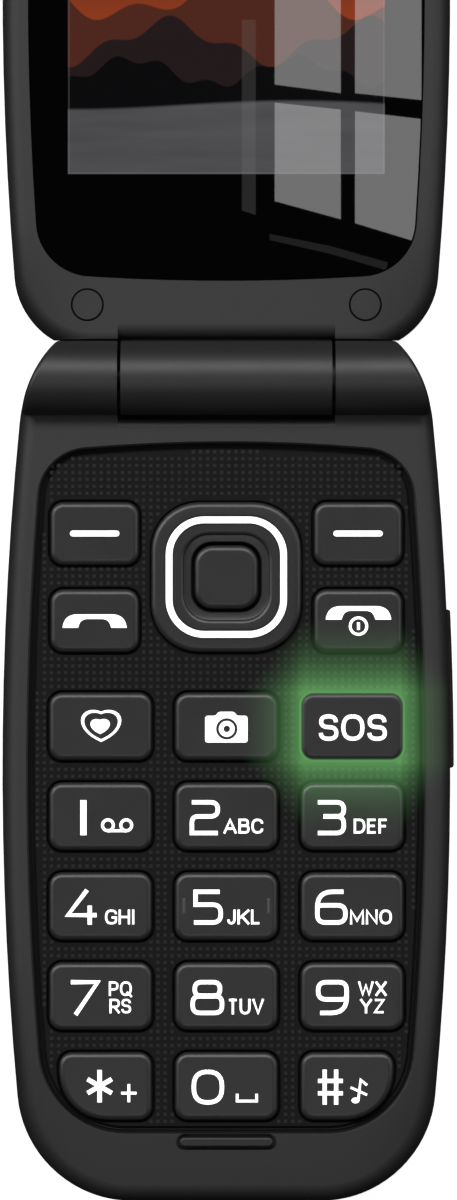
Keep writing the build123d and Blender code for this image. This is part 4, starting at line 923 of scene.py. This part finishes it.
@dataclass
class Legends:
    """White signs on the key tops."""

    sunk: float = 0.05
    proud: float = 0.012
    columns: Triple = (-14.57, 0.0, 14.57)
    first_row: float = -40.34
    pitch: float = 10.42
    upper_x: float = 15.25
    soft_y: float = -18.0
    call_y: float = -28.1
    figure: float = 4.06
    figure_stroke: float = 0.50

    def words(self) -> dict[str, tuple[Mark, ...]]:
        """The words on the keys, about the middle of each key's top.

        Returns:
            The marks by the name of the key's node.
        """
        figure = partial(Mark, height=self.figure, stroke=self.figure_stroke)
        return {
            "key_1": (Mark("1", -1.98, -0.14, 0.72, self.figure, 0.72),),
            "key_2": (figure("2", -2.49, -0.14, 3.5), Mark("ABC", 1.97, -1.12, 4.6)),
            "key_3": (figure("3", -2.47, -0.14, 3.5), Mark("DEF", 2.15, -1.12, 3.95)),
            "key_4": (figure("4", -2.11, -0.08, 3.82), Mark("GHI", 2.25, -1.22, 3.45, stroke=0.25)),
            "key_5": (figure("5", -2.20, -0.08, 3.6), Mark("JKL", 2.03, -1.22, 3.85)),
            "key_6": (figure("6", -2.41, -0.08, 3.75), Mark("MNO", 2.17, -1.22, 4.86)),
            "key_7": (
                figure("7", -1.88, -0.13, 3.6),
                Mark("PQ", 2.29, 0.90, 2.65, 1.68, 0.24), Mark("RS", 2.29, -1.12, 2.5, 1.68, 0.24),
            ),
            "key_8": (figure("8", -2.2, -0.13, 3.9), Mark("TUV", 2.26, -1.18, 4.17, 1.8)),
            "key_9": (
                figure("9", -2.29, -0.13, 3.8), Mark("WX", 2.34, 0.90, 3.3, 1.68), Mark("YZ", 2.34, -1.12, 2.85, 1.68),
            ),
            "key_star": (Mark("*", -0.10, 0.03, 3.75, 3.75, 0.52), Mark("+", 3.28, -0.78, 2.1, 2.1, 0.32)),
            "key_0": (figure("0", -2.14, -0.08, 3.76), Mark("_", 2.38, -1.35, 2.56, 1.0, 0.31)),
            "key_hash": (figure("#", -2.52, -0.08, 3.36, stroke=0.48),),
            "sos_key": (Mark("SOS", 0.08, -0.13, 7.87, 3.06, 0.46),),
        }

    def seat(self, key: str) -> Triple:
        """The middle of a key's top: its column, its row and the height of its node.

        Args:
            key: name of the key's node.

        Returns:
            x, y and top height, in millimetres.
        """
        if key in GRID:
            row, column = divmod(GRID.index(key), len(self.columns))
            x, y = self.columns[column], self.first_row - row * self.pitch
        else:
            x = -self.upper_x if key in ("soft_key_left", "call_key") else self.upper_x
            y = self.soft_y if key.startswith("soft_key") else self.call_y
        return x, y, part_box("key_4")[1].z / MM

    def signs(self) -> dict[str, Shape]:
        """The drawn signs of the function keys.

        Returns:
            A shape for each key that has a drawn sign.
        """
        z = -self.sunk, self.proud
        dash = ribbon([(-2.86, 0.0), (2.86, 0.0)], 0.68, z, True)
        outer = eased([(-3.72, -0.82, 0), (-3.50, 0.74, 1.5), (3.50, 0.74, 1.5), (3.72, -0.82, 0)], 12)
        inner = eased([(-1.92, -0.82, 0), (-1.62, 0.20, 0.8), (1.62, 0.20, 0.8), (1.92, -0.82, 0)], 12)
        handset = band(outer, inner, z)
        on_hook = Shape(handset.points * (1.02, 1.0, 1.0) + (0.05, 0.95, 0.0), handset.faces)
        on_hook += ring((0.05, -0.62), 1.12, 0.80, z)
        on_hook += ribbon([(0.05, -1.06), (0.05, -0.18)], 0.34, z)
        a = np.linspace(0.0, 2 * math.pi, 64, endpoint=False)
        lobe = 0.75 * (np.abs(np.sin(a)) ** 0.8 - 0.5)
        heart = np.stack([2.33 * np.sin(a), 1.75 * np.cos(a) + lobe], 1) + (0.07, 0.32)
        love = band(heart, (heart - (0.0, 0.05)) * (0.84, 0.83) + (0.01, 0.05), z, True)
        love += plate((heart - (0.0, 0.12)) * (0.48, 0.47) + (-0.08, 0.02), z)
        right = [(0.92, 1.70, 0.3), (1.20, 1.24, 0.3), (2.46, 1.24, 0.35), (2.46, -1.86, 0.3)]
        left = [(-x, y, reach) for x, y, reach in right[::-1]]
        body = spaced(eased([(0.0, 1.70, 0.0), *right, *left, (-0.01, 1.70, 0.0)]), 120)
        hub = np.array((0.05, -0.28))
        way = (body - hub) / np.linalg.norm(body - hub, axis=1, keepdims=True)
        camera = band(body, hub + way * 1.24, z, True) + ring(hub, 0.92, 0.38, z)
        mail = ring((0.86, -1.02), 0.80, 0.46, z) + ring((2.98, -1.02), 0.80, 0.46, z)
        mail += ribbon([(0.86, -1.66), (2.98, -1.66)], 0.32, z)
        hush = plate(np.stack([0.38 + 0.46 * np.cos(a), -1.62 + 0.34 * np.sin(a)], 1), z)
        hush += ribbon(eased([(0.70, -1.6, 0), (0.98, 0.75, 0), (1.72, 0.15, 0.0)]), 0.30, z)
        hush += ribbon([(-0.18, -0.12), (1.72, -0.98)], 0.28, z)
        return {
            "soft_key_left": dash, "soft_key_right": dash, "call_key": handset, "end_key": on_hook,
            "favourite_key": love, "camera_key": camera, "key_1": mail, "key_hash": hush,
        }

    def build(self) -> None:
        """Make the legend of every key: its words and its sign, moved from their own middle onto the key."""
        signs, words = self.signs(), self.words()
        for key in sorted(signs.keys() | words.keys()):
            parts = [m.shape((-self.sunk, self.proud)) for m in words.get(key, ())]
            whole = joined(parts + ([signs[key]] if key in signs else []))
            moved = Shape(whole.points + self.seat(key), whole.faces)
            piece(f"legend_{key}", moved, key, Dress.INK)


# Sub-assemblies


@dataclass(frozen=True)
class Key:
    """One key's outline: its middle, half sizes and corner radii, and how far its flange laps the panel."""

    name: str
    x: float
    y: float
    half: Span
    corners: Quad
    top: float
    foot: float
    lap: float

    def section(self, grow: float, z: float) -> np.ndarray:
        """The key's outline at one height, grown outwards or set in."""
        return level(rounded(self.half, self.corners, grow) + (self.x, self.y), z)


@dataclass
class KeyCaps:
    """Key caps with a soft bevel round the top, and a black band round their openings in the panel that paints the
    shade of the gaps.
    """

    lap: float = 0.55
    ok_lap: float = 0.85
    corner: float = 1.5
    ok_corner: float = 2.1
    ok_foot: float = 8.15
    sunk: float = 0.02
    proud: float = 0.006
    cut_corner: float = 5.6
    flange: float = 0.55
    gap: float = 0.2
    # Width of the painted shade band round each opening.
    shade_width: float = 0.13
    tick: Quad = (4.9, 0.45, 1.9, 0.13)

    def keys(self) -> list[Key]:
        """Every straight key, measured from its node.

        Returns:
            The keys, sorted by name.
        """
        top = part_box("key_4")[1].z / MM
        found = []
        for name in sorted((*UPPER, *GRID, "ok_key")):
            low, high = (np.array(c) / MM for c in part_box(name))
            ok, cut = name == "ok_key", {"key_star": 2, "key_hash": 3}.get(name)
            lap, foot = (self.ok_lap, self.ok_foot) if ok else (self.lap, low[2])
            corners = [self.ok_corner if ok else self.corner] * 4
            if cut is not None:
                corners[cut] = self.cut_corner
            middle, half = (low + high) / 2, (high - low) / 2 - lap
            found.append(Key(name, middle[0], middle[1], tuple(half[:2]), tuple(corners), top, foot, lap))
        return found

    def cap(self, key: Key) -> Shape:
        """Skin a key: its outline carried up along a profile of flange, wall, bevel and flat top.

        Args:
            key: the key.

        Returns:
            The cap as a closed solid.
        """
        low = key.foot + self.flange
        rows = [(key.lap, key.foot), (key.lap, low), (0.0, low), *((g, key.top + z) for g, z in BEVEL)]
        return loft(np.stack([key.section(grow, z) for grow, z in rows]))

    def ticks(self, key: Key) -> Shape:
        """The two low ridges that the thumb feels for on the middle key.

        Args:
            key: the middle key.

        Returns:
            Both ridges, their feet in the cap's top.
        """
        offset, width, length, rise = self.tick
        ends = np.array([(0.0, -length / 2), (0.0, length / 2)]) + (key.x, key.y)
        z = key.top - self.sunk, key.top + rise
        return joined(ridge(ends + (side, 0.0), width, z) for side in (-offset, offset))

    def build(self) -> None:
        """Make every cap in place of its node, and the painted shade bands round the openings as one piece."""
        shade_bands, top = [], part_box("keypad_panel")[1].z / MM
        for key in self.keys():
            dress = Dress.SOS_CAP if key.name == "sos_key" else Dress.KEYCAP
            made = piece(f"cap_{key.name}", self.cap(key), key.name, dress, CREASE)
            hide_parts(key.name)
            if key.name == "key_5":
                piece("ticks_key_5", self.ticks(key), key.name, Dress.TICK)
            if key.name in ("sos_key", "ok_key"):
                continue
            # Painted shade: a black band on the panel round each opening widens the dark of the gap.
            edges = (rounded(key.half, key.corners, g) + (key.x, key.y) for g in (self.gap + self.shade_width, self.gap))
            shade_bands.append(band(*edges, (top - self.sunk, top + self.proud), True))
        piece("opening_painted_shade", joined(shade_bands), "base", Dress.SEAM_AND_SHADE)


@dataclass
class NavRing:
    """Navigation ring: bevelled outside, groove for the light ring, and a stepped dish round its hole."""

    y: float = -23.05
    rows: tuple[Triple, ...] = (
        (4.05, 2.4, 9.05), (9.05, 5.91, 9.05), (9.05, 5.91, 9.60), (8.70, 5.56, 9.60),
        *((8.70 + g, 5.56 + g, 11.80 + z) for g, z in BEVEL[:-1]), (7.24, 4.65, 11.80), (7.20, 4.61, 11.77),
        (7.20, 4.61, 11.38), (6.06, 3.48, 11.38), (6.06, 3.48, 11.77), (6.02, 3.44, 11.80), (5.38, 3.36, 11.80),
        (5.30, 3.29, 11.788), (5.20, 3.20, 11.75), (5.09, 3.11, 11.70), (5.02, 3.05, 11.65), (4.96, 3.00, 11.50),
        (4.93, 2.97, 11.38), (4.85, 2.90, 11.35), (4.16, 2.48, 11.33), (4.05, 2.40, 11.20),
    )

    def build(self) -> None:
        """Join rounded squares in a closed loop: each row gives half size, corner radius and height."""
        sections = [level(rounded((h, h), (c,) * 4) + (0.0, self.y), z) for h, c, z in self.rows]
        made = piece("nav_rim", loft(np.stack(sections), True), "nav_ring", Dress.KEYCAP, CREASE)
        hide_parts("nav_ring")


@dataclass
class Opening:
    """The keypad opening: bowed near edge, arcs down both sides, straight far edge and round corners."""

    side_radius: float = 410.0
    widest: float = 45.5
    half_width: float = 23.0
    near: float = 7.5
    far: float = 87.5
    bow: float = 190.0
    near_corner: float = 5.8
    far_corner: float = 10.0


@dataclass
class PanelDots(Opening):
    """Fine square studs all over the keypad panel, on a grid."""

    pitch: Span = (0.822, 0.80)
    first: Span = (0.30, -8.55)
    foot: float = 0.26
    crown: float = 0.17
    rise: float = 0.05
    sunk: float = 0.03
    edge: float = 0.30
    gap: float = 0.50
    moat: float = 0.7
    nav: Span = (8.7, 5.56)

    def free(self, x: np.ndarray, y: np.ndarray) -> np.ndarray:
        """Which points lie on the bare panel: inside its waisted outline and clear of every opening.

        Args:
            x: places across, in millimetres.
            y: places along, in millimetres.

        Returns:
            True where a stud has room.
        """
        reach, far, corner = -y, self.far - self.moat, self.far_corner - self.moat
        arc = np.sqrt(self.side_radius**2 - (reach - self.widest) ** 2)
        side = self.half_width - self.moat - self.side_radius + arc
        room = np.minimum(side - np.abs(x), far - reach)
        room = np.minimum(room, reach - self.near - self.moat - x**2 / (2 * (self.bow - self.moat)))
        past_x, past_y = np.abs(x) - (side - corner), reach - (far - corner)
        in_corner = (past_x > 0) & (past_y > 0)
        room = np.where(in_corner, np.minimum(room, corner - np.hypot(past_x, past_y)), room)
        clear = outside(x, y - NavRing.y, self.nav[:1] * 2, self.nav[1])
        for key in KeyCaps().keys():
            if key.name != "ok_key":
                clear = np.minimum(clear, outside(x - key.x, y - key.y, key.half, key.corners[0]))
        return (room > self.edge) & (clear > self.gap)

    def build(self) -> None:
        """Put a low square stud on each free point of the grid: foot, crown and flat top."""
        n = int((self.half_width - self.moat) / self.pitch[0]) + 1
        gx = self.first[0] + np.arange(-n, n + 1) * self.pitch[0]
        gy = np.arange(self.first[1], self.moat - self.far, -self.pitch[1])
        x, y = (g.ravel() for g in np.meshgrid(gx, gy))
        keep = self.free(x, y)
        x, y = x[keep], y[keep]
        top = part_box("keypad_panel")[1].z / MM
        levels = ((self.foot, top - self.sunk), (self.crown, top + self.rise))
        stud = loft(np.stack([level(SQUARE * r, h) for r, h in levels]))
        points = level(np.stack([x, y], 1), 0.0)[:, None] + stud.points
        faces = np.array(stud.faces) + (np.arange(len(x)) * len(stud.points))[:, None, None]
        whole = Shape(points.reshape(-1, 3), faces.reshape(-1, 4).tolist())
        piece("panel_dots", whole, "base", Dress.DOTS)


@dataclass
class Seams(Opening):
    """Fine lines of the housings: the bead in the groove round the panel, and the seams of the screw caps."""

    bead: Quad = (0.43, 0.17, 10.33, 10.62)
    caps: Span = (16.1, 8.5)
    seam: tuple[float, float, Span] = (1.92, 1.76, (11.58, 11.606))

    def outline(self, inset: float) -> np.ndarray:
        """Outline of the keypad opening, or of a line inside it.

        Args:
            inset: distance inside the opening's edge.

        Returns:
            Points once round, x and y.
        """
        def half(reach: np.ndarray) -> np.ndarray:
            """Half of the opening's width at a reach."""
            radius = self.side_radius - inset
            return self.half_width - self.side_radius + np.sqrt(radius**2 - (reach - self.widest) ** 2)

        near_r, far_r = self.near_corner - inset, self.far_corner - inset
        near, far = self.near + inset, self.far - inset
        quarter = np.linspace(0.0, math.pi / 2, 14)
        far_y = far - far_r
        far_x = half(np.array(far_y)) - far_r
        near_x = half(np.array(near + near_r)) - near_r
        near_y = near + near_x**2 / (2 * self.bow) + near_r
        along = np.linspace(0.0, near_x, 16)[:-1]
        reach = np.linspace(near_y, far_y, 40)[1:-1]
        right = np.vstack([
            np.stack([along, near + along**2 / (2 * self.bow)], 1),
            np.stack([near_x + near_r * np.sin(quarter), near_y - near_r * np.cos(quarter)], 1),
            np.stack([half(reach), reach], 1),
            np.stack([far_x + far_r * np.cos(quarter), far_y + far_r * np.sin(quarter)], 1),
        ])
        left = right[:0:-1] * (-1.0, 1.0)
        return np.vstack([right, left]) * (1.0, -1.0)

    def build(self) -> None:
        """Carry a roof-shaped profile round the groove, and lay a thin ring round each cap."""
        inset, half, foot, top = self.bead
        rows = ((inset - half, foot), (inset, top), (inset + half, foot))
        sections = [level(self.outline(i), z) for i, z in rows]
        piece("groove_bead", loft(np.stack(sections), True), "base", Dress.SHELL, 50.0)
        x, y = self.caps
        piece("cap_seams", joined(ring((side, y), *self.seam) for side in (x, -x)), "lid", Dress.SEAM_AND_SHADE)


@dataclass
class Housing:
    """The nodes of the frame and the finish that each one wears."""

    wear: dict[Dress, tuple[str, ...]] = field(default_factory=lambda: {
        Dress.SHELL: ("base_front_housing", "base_rear_housing", "rear_cover", "lid_frame", "lid_cover", "screw_caps"),
        Dress.KEYCAP: (*UPPER, *(k for k in GRID if k != "sos_key"), "ok_key", "nav_ring", "volume_rocker"),
        Dress.SOS_CAP: ("sos_key",),
        Dress.PANEL: ("keypad_panel",),
        Dress.RUBBER: ("lid_stop",),
        Dress.MAT: ("keypad_mat",),
        Dress.BUSH: ("pivot_bush",),
        Dress.PART: (
            "nav_pad", "loudspeaker", "earpiece", "microphone", "vibration_motor", "camera_module", "antenna",
        ),
        Dress.CELL: ("battery",),
        Dress.LAMP: ("sos_light",),
        Dress.LIGHT_RING: ("nav_light",),
        Dress.WHITE_FILM: ("lcd_backlight",),
        Dress.PANE: ("camera_window",),
        Dress.STEEL: ("base_screws", "lid_screws", "shield_can", "card_holder", "usb_port", "earpiece_mesh"),
        Dress.SHAFT: ("hinge_cartridge", "hinge_shaft"),
        Dress.GOLD: ("battery_contacts",),
        Dress.BOARD: ("main_board", "lid_board"),
        Dress.FLEX: ("base_flex", "lid_flex"),
        Dress.DOMES: ("dome_sheet",),
        Dress.CRYSTAL: ("lcd_panel",),
        Dress.LENS: ("display_lens",),
    })

    def build(self) -> None:
        """Give every node its finish."""
        for dress, names in self.wear.items():
            for name in names:
                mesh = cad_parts[name].data
                mesh.materials.clear()
                mesh.materials.append(dress.value.material())
                log.info("node %s wears %s", name, dress.value.name)
        bare = set(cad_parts) - {n for names in self.wear.values() for n in names}
        if bare:
            raise ValueError(f"nodes without a finish: {sorted(bare)}")


@dataclass
class Studio:
    """Floor, lights, window panes that mirror in the lens, and the camera."""

    focal: float = 200.0
    sensor: float = 36.0
    distance: float = 772.0
    face: float = 11.6
    eye: Span = (0.25, -25.7)
    pane_height: float = 386.0
    floor_reach: float = 6.0
    floor_height: float = -0.0002

    def floor(self) -> None:
        """A wide pale floor that glows evenly: a flat grid far larger than the phone."""
        n = 5
        u = np.linspace(-self.floor_reach, self.floor_reach, n)
        gx, gy = np.meshgrid(u, u)
        points = level(np.stack([gx.ravel(), gy.ravel()], 1), self.floor_height)
        i, j = (g.ravel() for g in np.meshgrid(np.arange(n - 1), np.arange(n - 1)))
        first = j * n + i
        faces = np.stack([first, first + 1, first + n + 1, first + n], 1).tolist()
        look = {"Base_Color": grey(0.5), "Roughness": 0.9, "Specular_IOR_Level": 0.0, "Emission_Strength": 0.9}
        self.put("floor", points, faces, look).visible_glossy = False

    def put(self, name: str, points: np.ndarray, faces: list[list[int]], look: dict[str, Any]) -> bpy.types.Object:
        """Make a mesh of the stage that glows white.

        Args:
            name: name of the mesh.
            points: its points in metres.
            faces: the faces between them.
            look: sockets of its shader, with their values.

        Returns:
            The new object, hidden from diffuse rays.
        """
        mesh = bpy.data.meshes.new(name)
        mesh.from_pydata(points.tolist(), [], faces)
        material = bpy.data.materials.new(f"{name}_face")
        Tree(material).set(Emission_Color=WHITE, **look)
        mesh.materials.append(material)
        obj = bpy.data.objects.new(name, mesh)
        bpy.context.collection.objects.link(obj)
        obj.visible_diffuse = False
        return obj

    def glowing(self, name: str, corners: np.ndarray, strength: float) -> None:
        """A flat pane of light that only mirrors see.

        Args:
            name: name of the pane.
            corners: its corners as seen on the lens, in millimetres.
            strength: brightness of the pane.
        """
        eye = np.array(self.eye)
        spread = 1.0 + self.pane_height / self.distance
        place = eye + (corners - eye) * spread
        points = level(place, self.face + self.pane_height) * MM
        look = {"Base_Color": BLACK, "Emission_Strength": strength}
        obj = self.put(name, points, [list(range(len(place)))], look)
        obj.visible_camera = obj.visible_shadow = False

    def panes(self) -> None:
        """Four window panes and two dim streaks, placed where they mirror on the lens."""
        windows = {
            "pane_low_left": (5.6, 13.25, 31.9, 31.1, 18.4, 20.5),
            "pane_low_right": (14.9, 22.6, 30.9, 30.0, 15.6, 17.95),
            "pane_high_left": (5.6, 13.25, 52.0, 52.0, 33.0, 34.0),
            "pane_high_right": (14.9, 22.6, 52.0, 52.0, 32.2, 33.0),
        }
        for name, (left, right, *heights) in windows.items():
            self.glowing(name, np.stack([(left, right, right, left), heights], 1), 4.0)
        sill = ((5.0, 16.7), (12.0, 15.3), (18.7, 13.4), (18.5, 12.5), (12.0, 14.4), (5.0, 16.0))
        self.glowing("sill", np.array(sill), 0.34)
        self.glowing("streak", np.array(((1.8, 41.5), (3.4, 41.5), (3.4, 18.9), (1.8, 19.4))), 0.5)

    def light(self, name: str, place: Triple, size: Span, bright: float) -> None:
        """A soft box aimed at the middle of the phone.

        Args:
            name: name of the light.
            place: its place in metres.
            size: its width and height in metres.
            bright: radiance of its face.
        """
        lamp = bpy.data.lights.new(name, "AREA")
        lamp.shape, lamp.size, lamp.size_y = "RECTANGLE", size[0], size[1]
        lamp.energy = bright * math.pi * size[0] * size[1]
        obj = bpy.data.objects.new(name, lamp)
        obj.location = place
        aim = Vector((0.0, -0.02, 0.0)) - Vector(place)
        obj.rotation_euler = aim.to_track_quat("-Z", "Y").to_euler()
        obj.visible_camera = False
        bpy.context.collection.objects.link(obj)

    def world(self) -> None:
        """Pale to the camera, dim to the surfaces."""
        world = bpy.data.worlds.new("studio")
        tree = Nodes(world)
        seen = tree.node("ShaderNodeLightPath", out="Is Camera Ray")
        back = tree.node("ShaderNodeBackground", None, {0: tree.mix(seen, grey(0.02), WHITE)})
        tree.node("ShaderNodeOutputWorld", None, {0: back})
        bpy.context.scene.world = world

    def camera(self) -> None:
        """A long lens straight above the phone, level with the photograph's frame."""
        data = bpy.data.cameras.new("camera")
        data.lens, data.sensor_width, data.sensor_fit = self.focal, self.sensor, "AUTO"
        data.clip_end = 20.0
        obj = bpy.data.objects.new("camera", data)
        obj.location = (self.eye[0] * MM, self.eye[1] * MM, (self.face + self.distance) * MM)
        bpy.context.collection.objects.link(obj)
        bpy.context.scene.camera = obj
        bpy.context.scene.view_settings.view_transform = "Standard"

    def build(self) -> None:
        """Set up the whole studio."""
        self.floor()
        self.panes()
        self.light("strip_far", (-0.20, 1.12, 1.66), (3.0, 0.46), 9.0)
        self.light("strip_near", (0.0, -0.62, 1.90), (1.0, 0.30), 3.0)
        self.light("box_left", (-1.50, 0.45, 1.26), (1.2, 0.80), 3.0)
        self.light("box_right", (1.50, 0.35, 1.26), (1.2, 0.80), 1.9)
        self.world()
        self.camera()


def main() -> None:
    """Dress the phone, add its legends and dots, and set the studio up."""
    logging.basicConfig(level=logging.INFO, format="%(name)s: %(message)s")
    Housing().build()
    KeyCaps().build()
    NavRing().build()
    PanelDots().build()
    Seams().build()
    Legends().build()
    Studio().build()


if __name__ == "__main__":
    main()
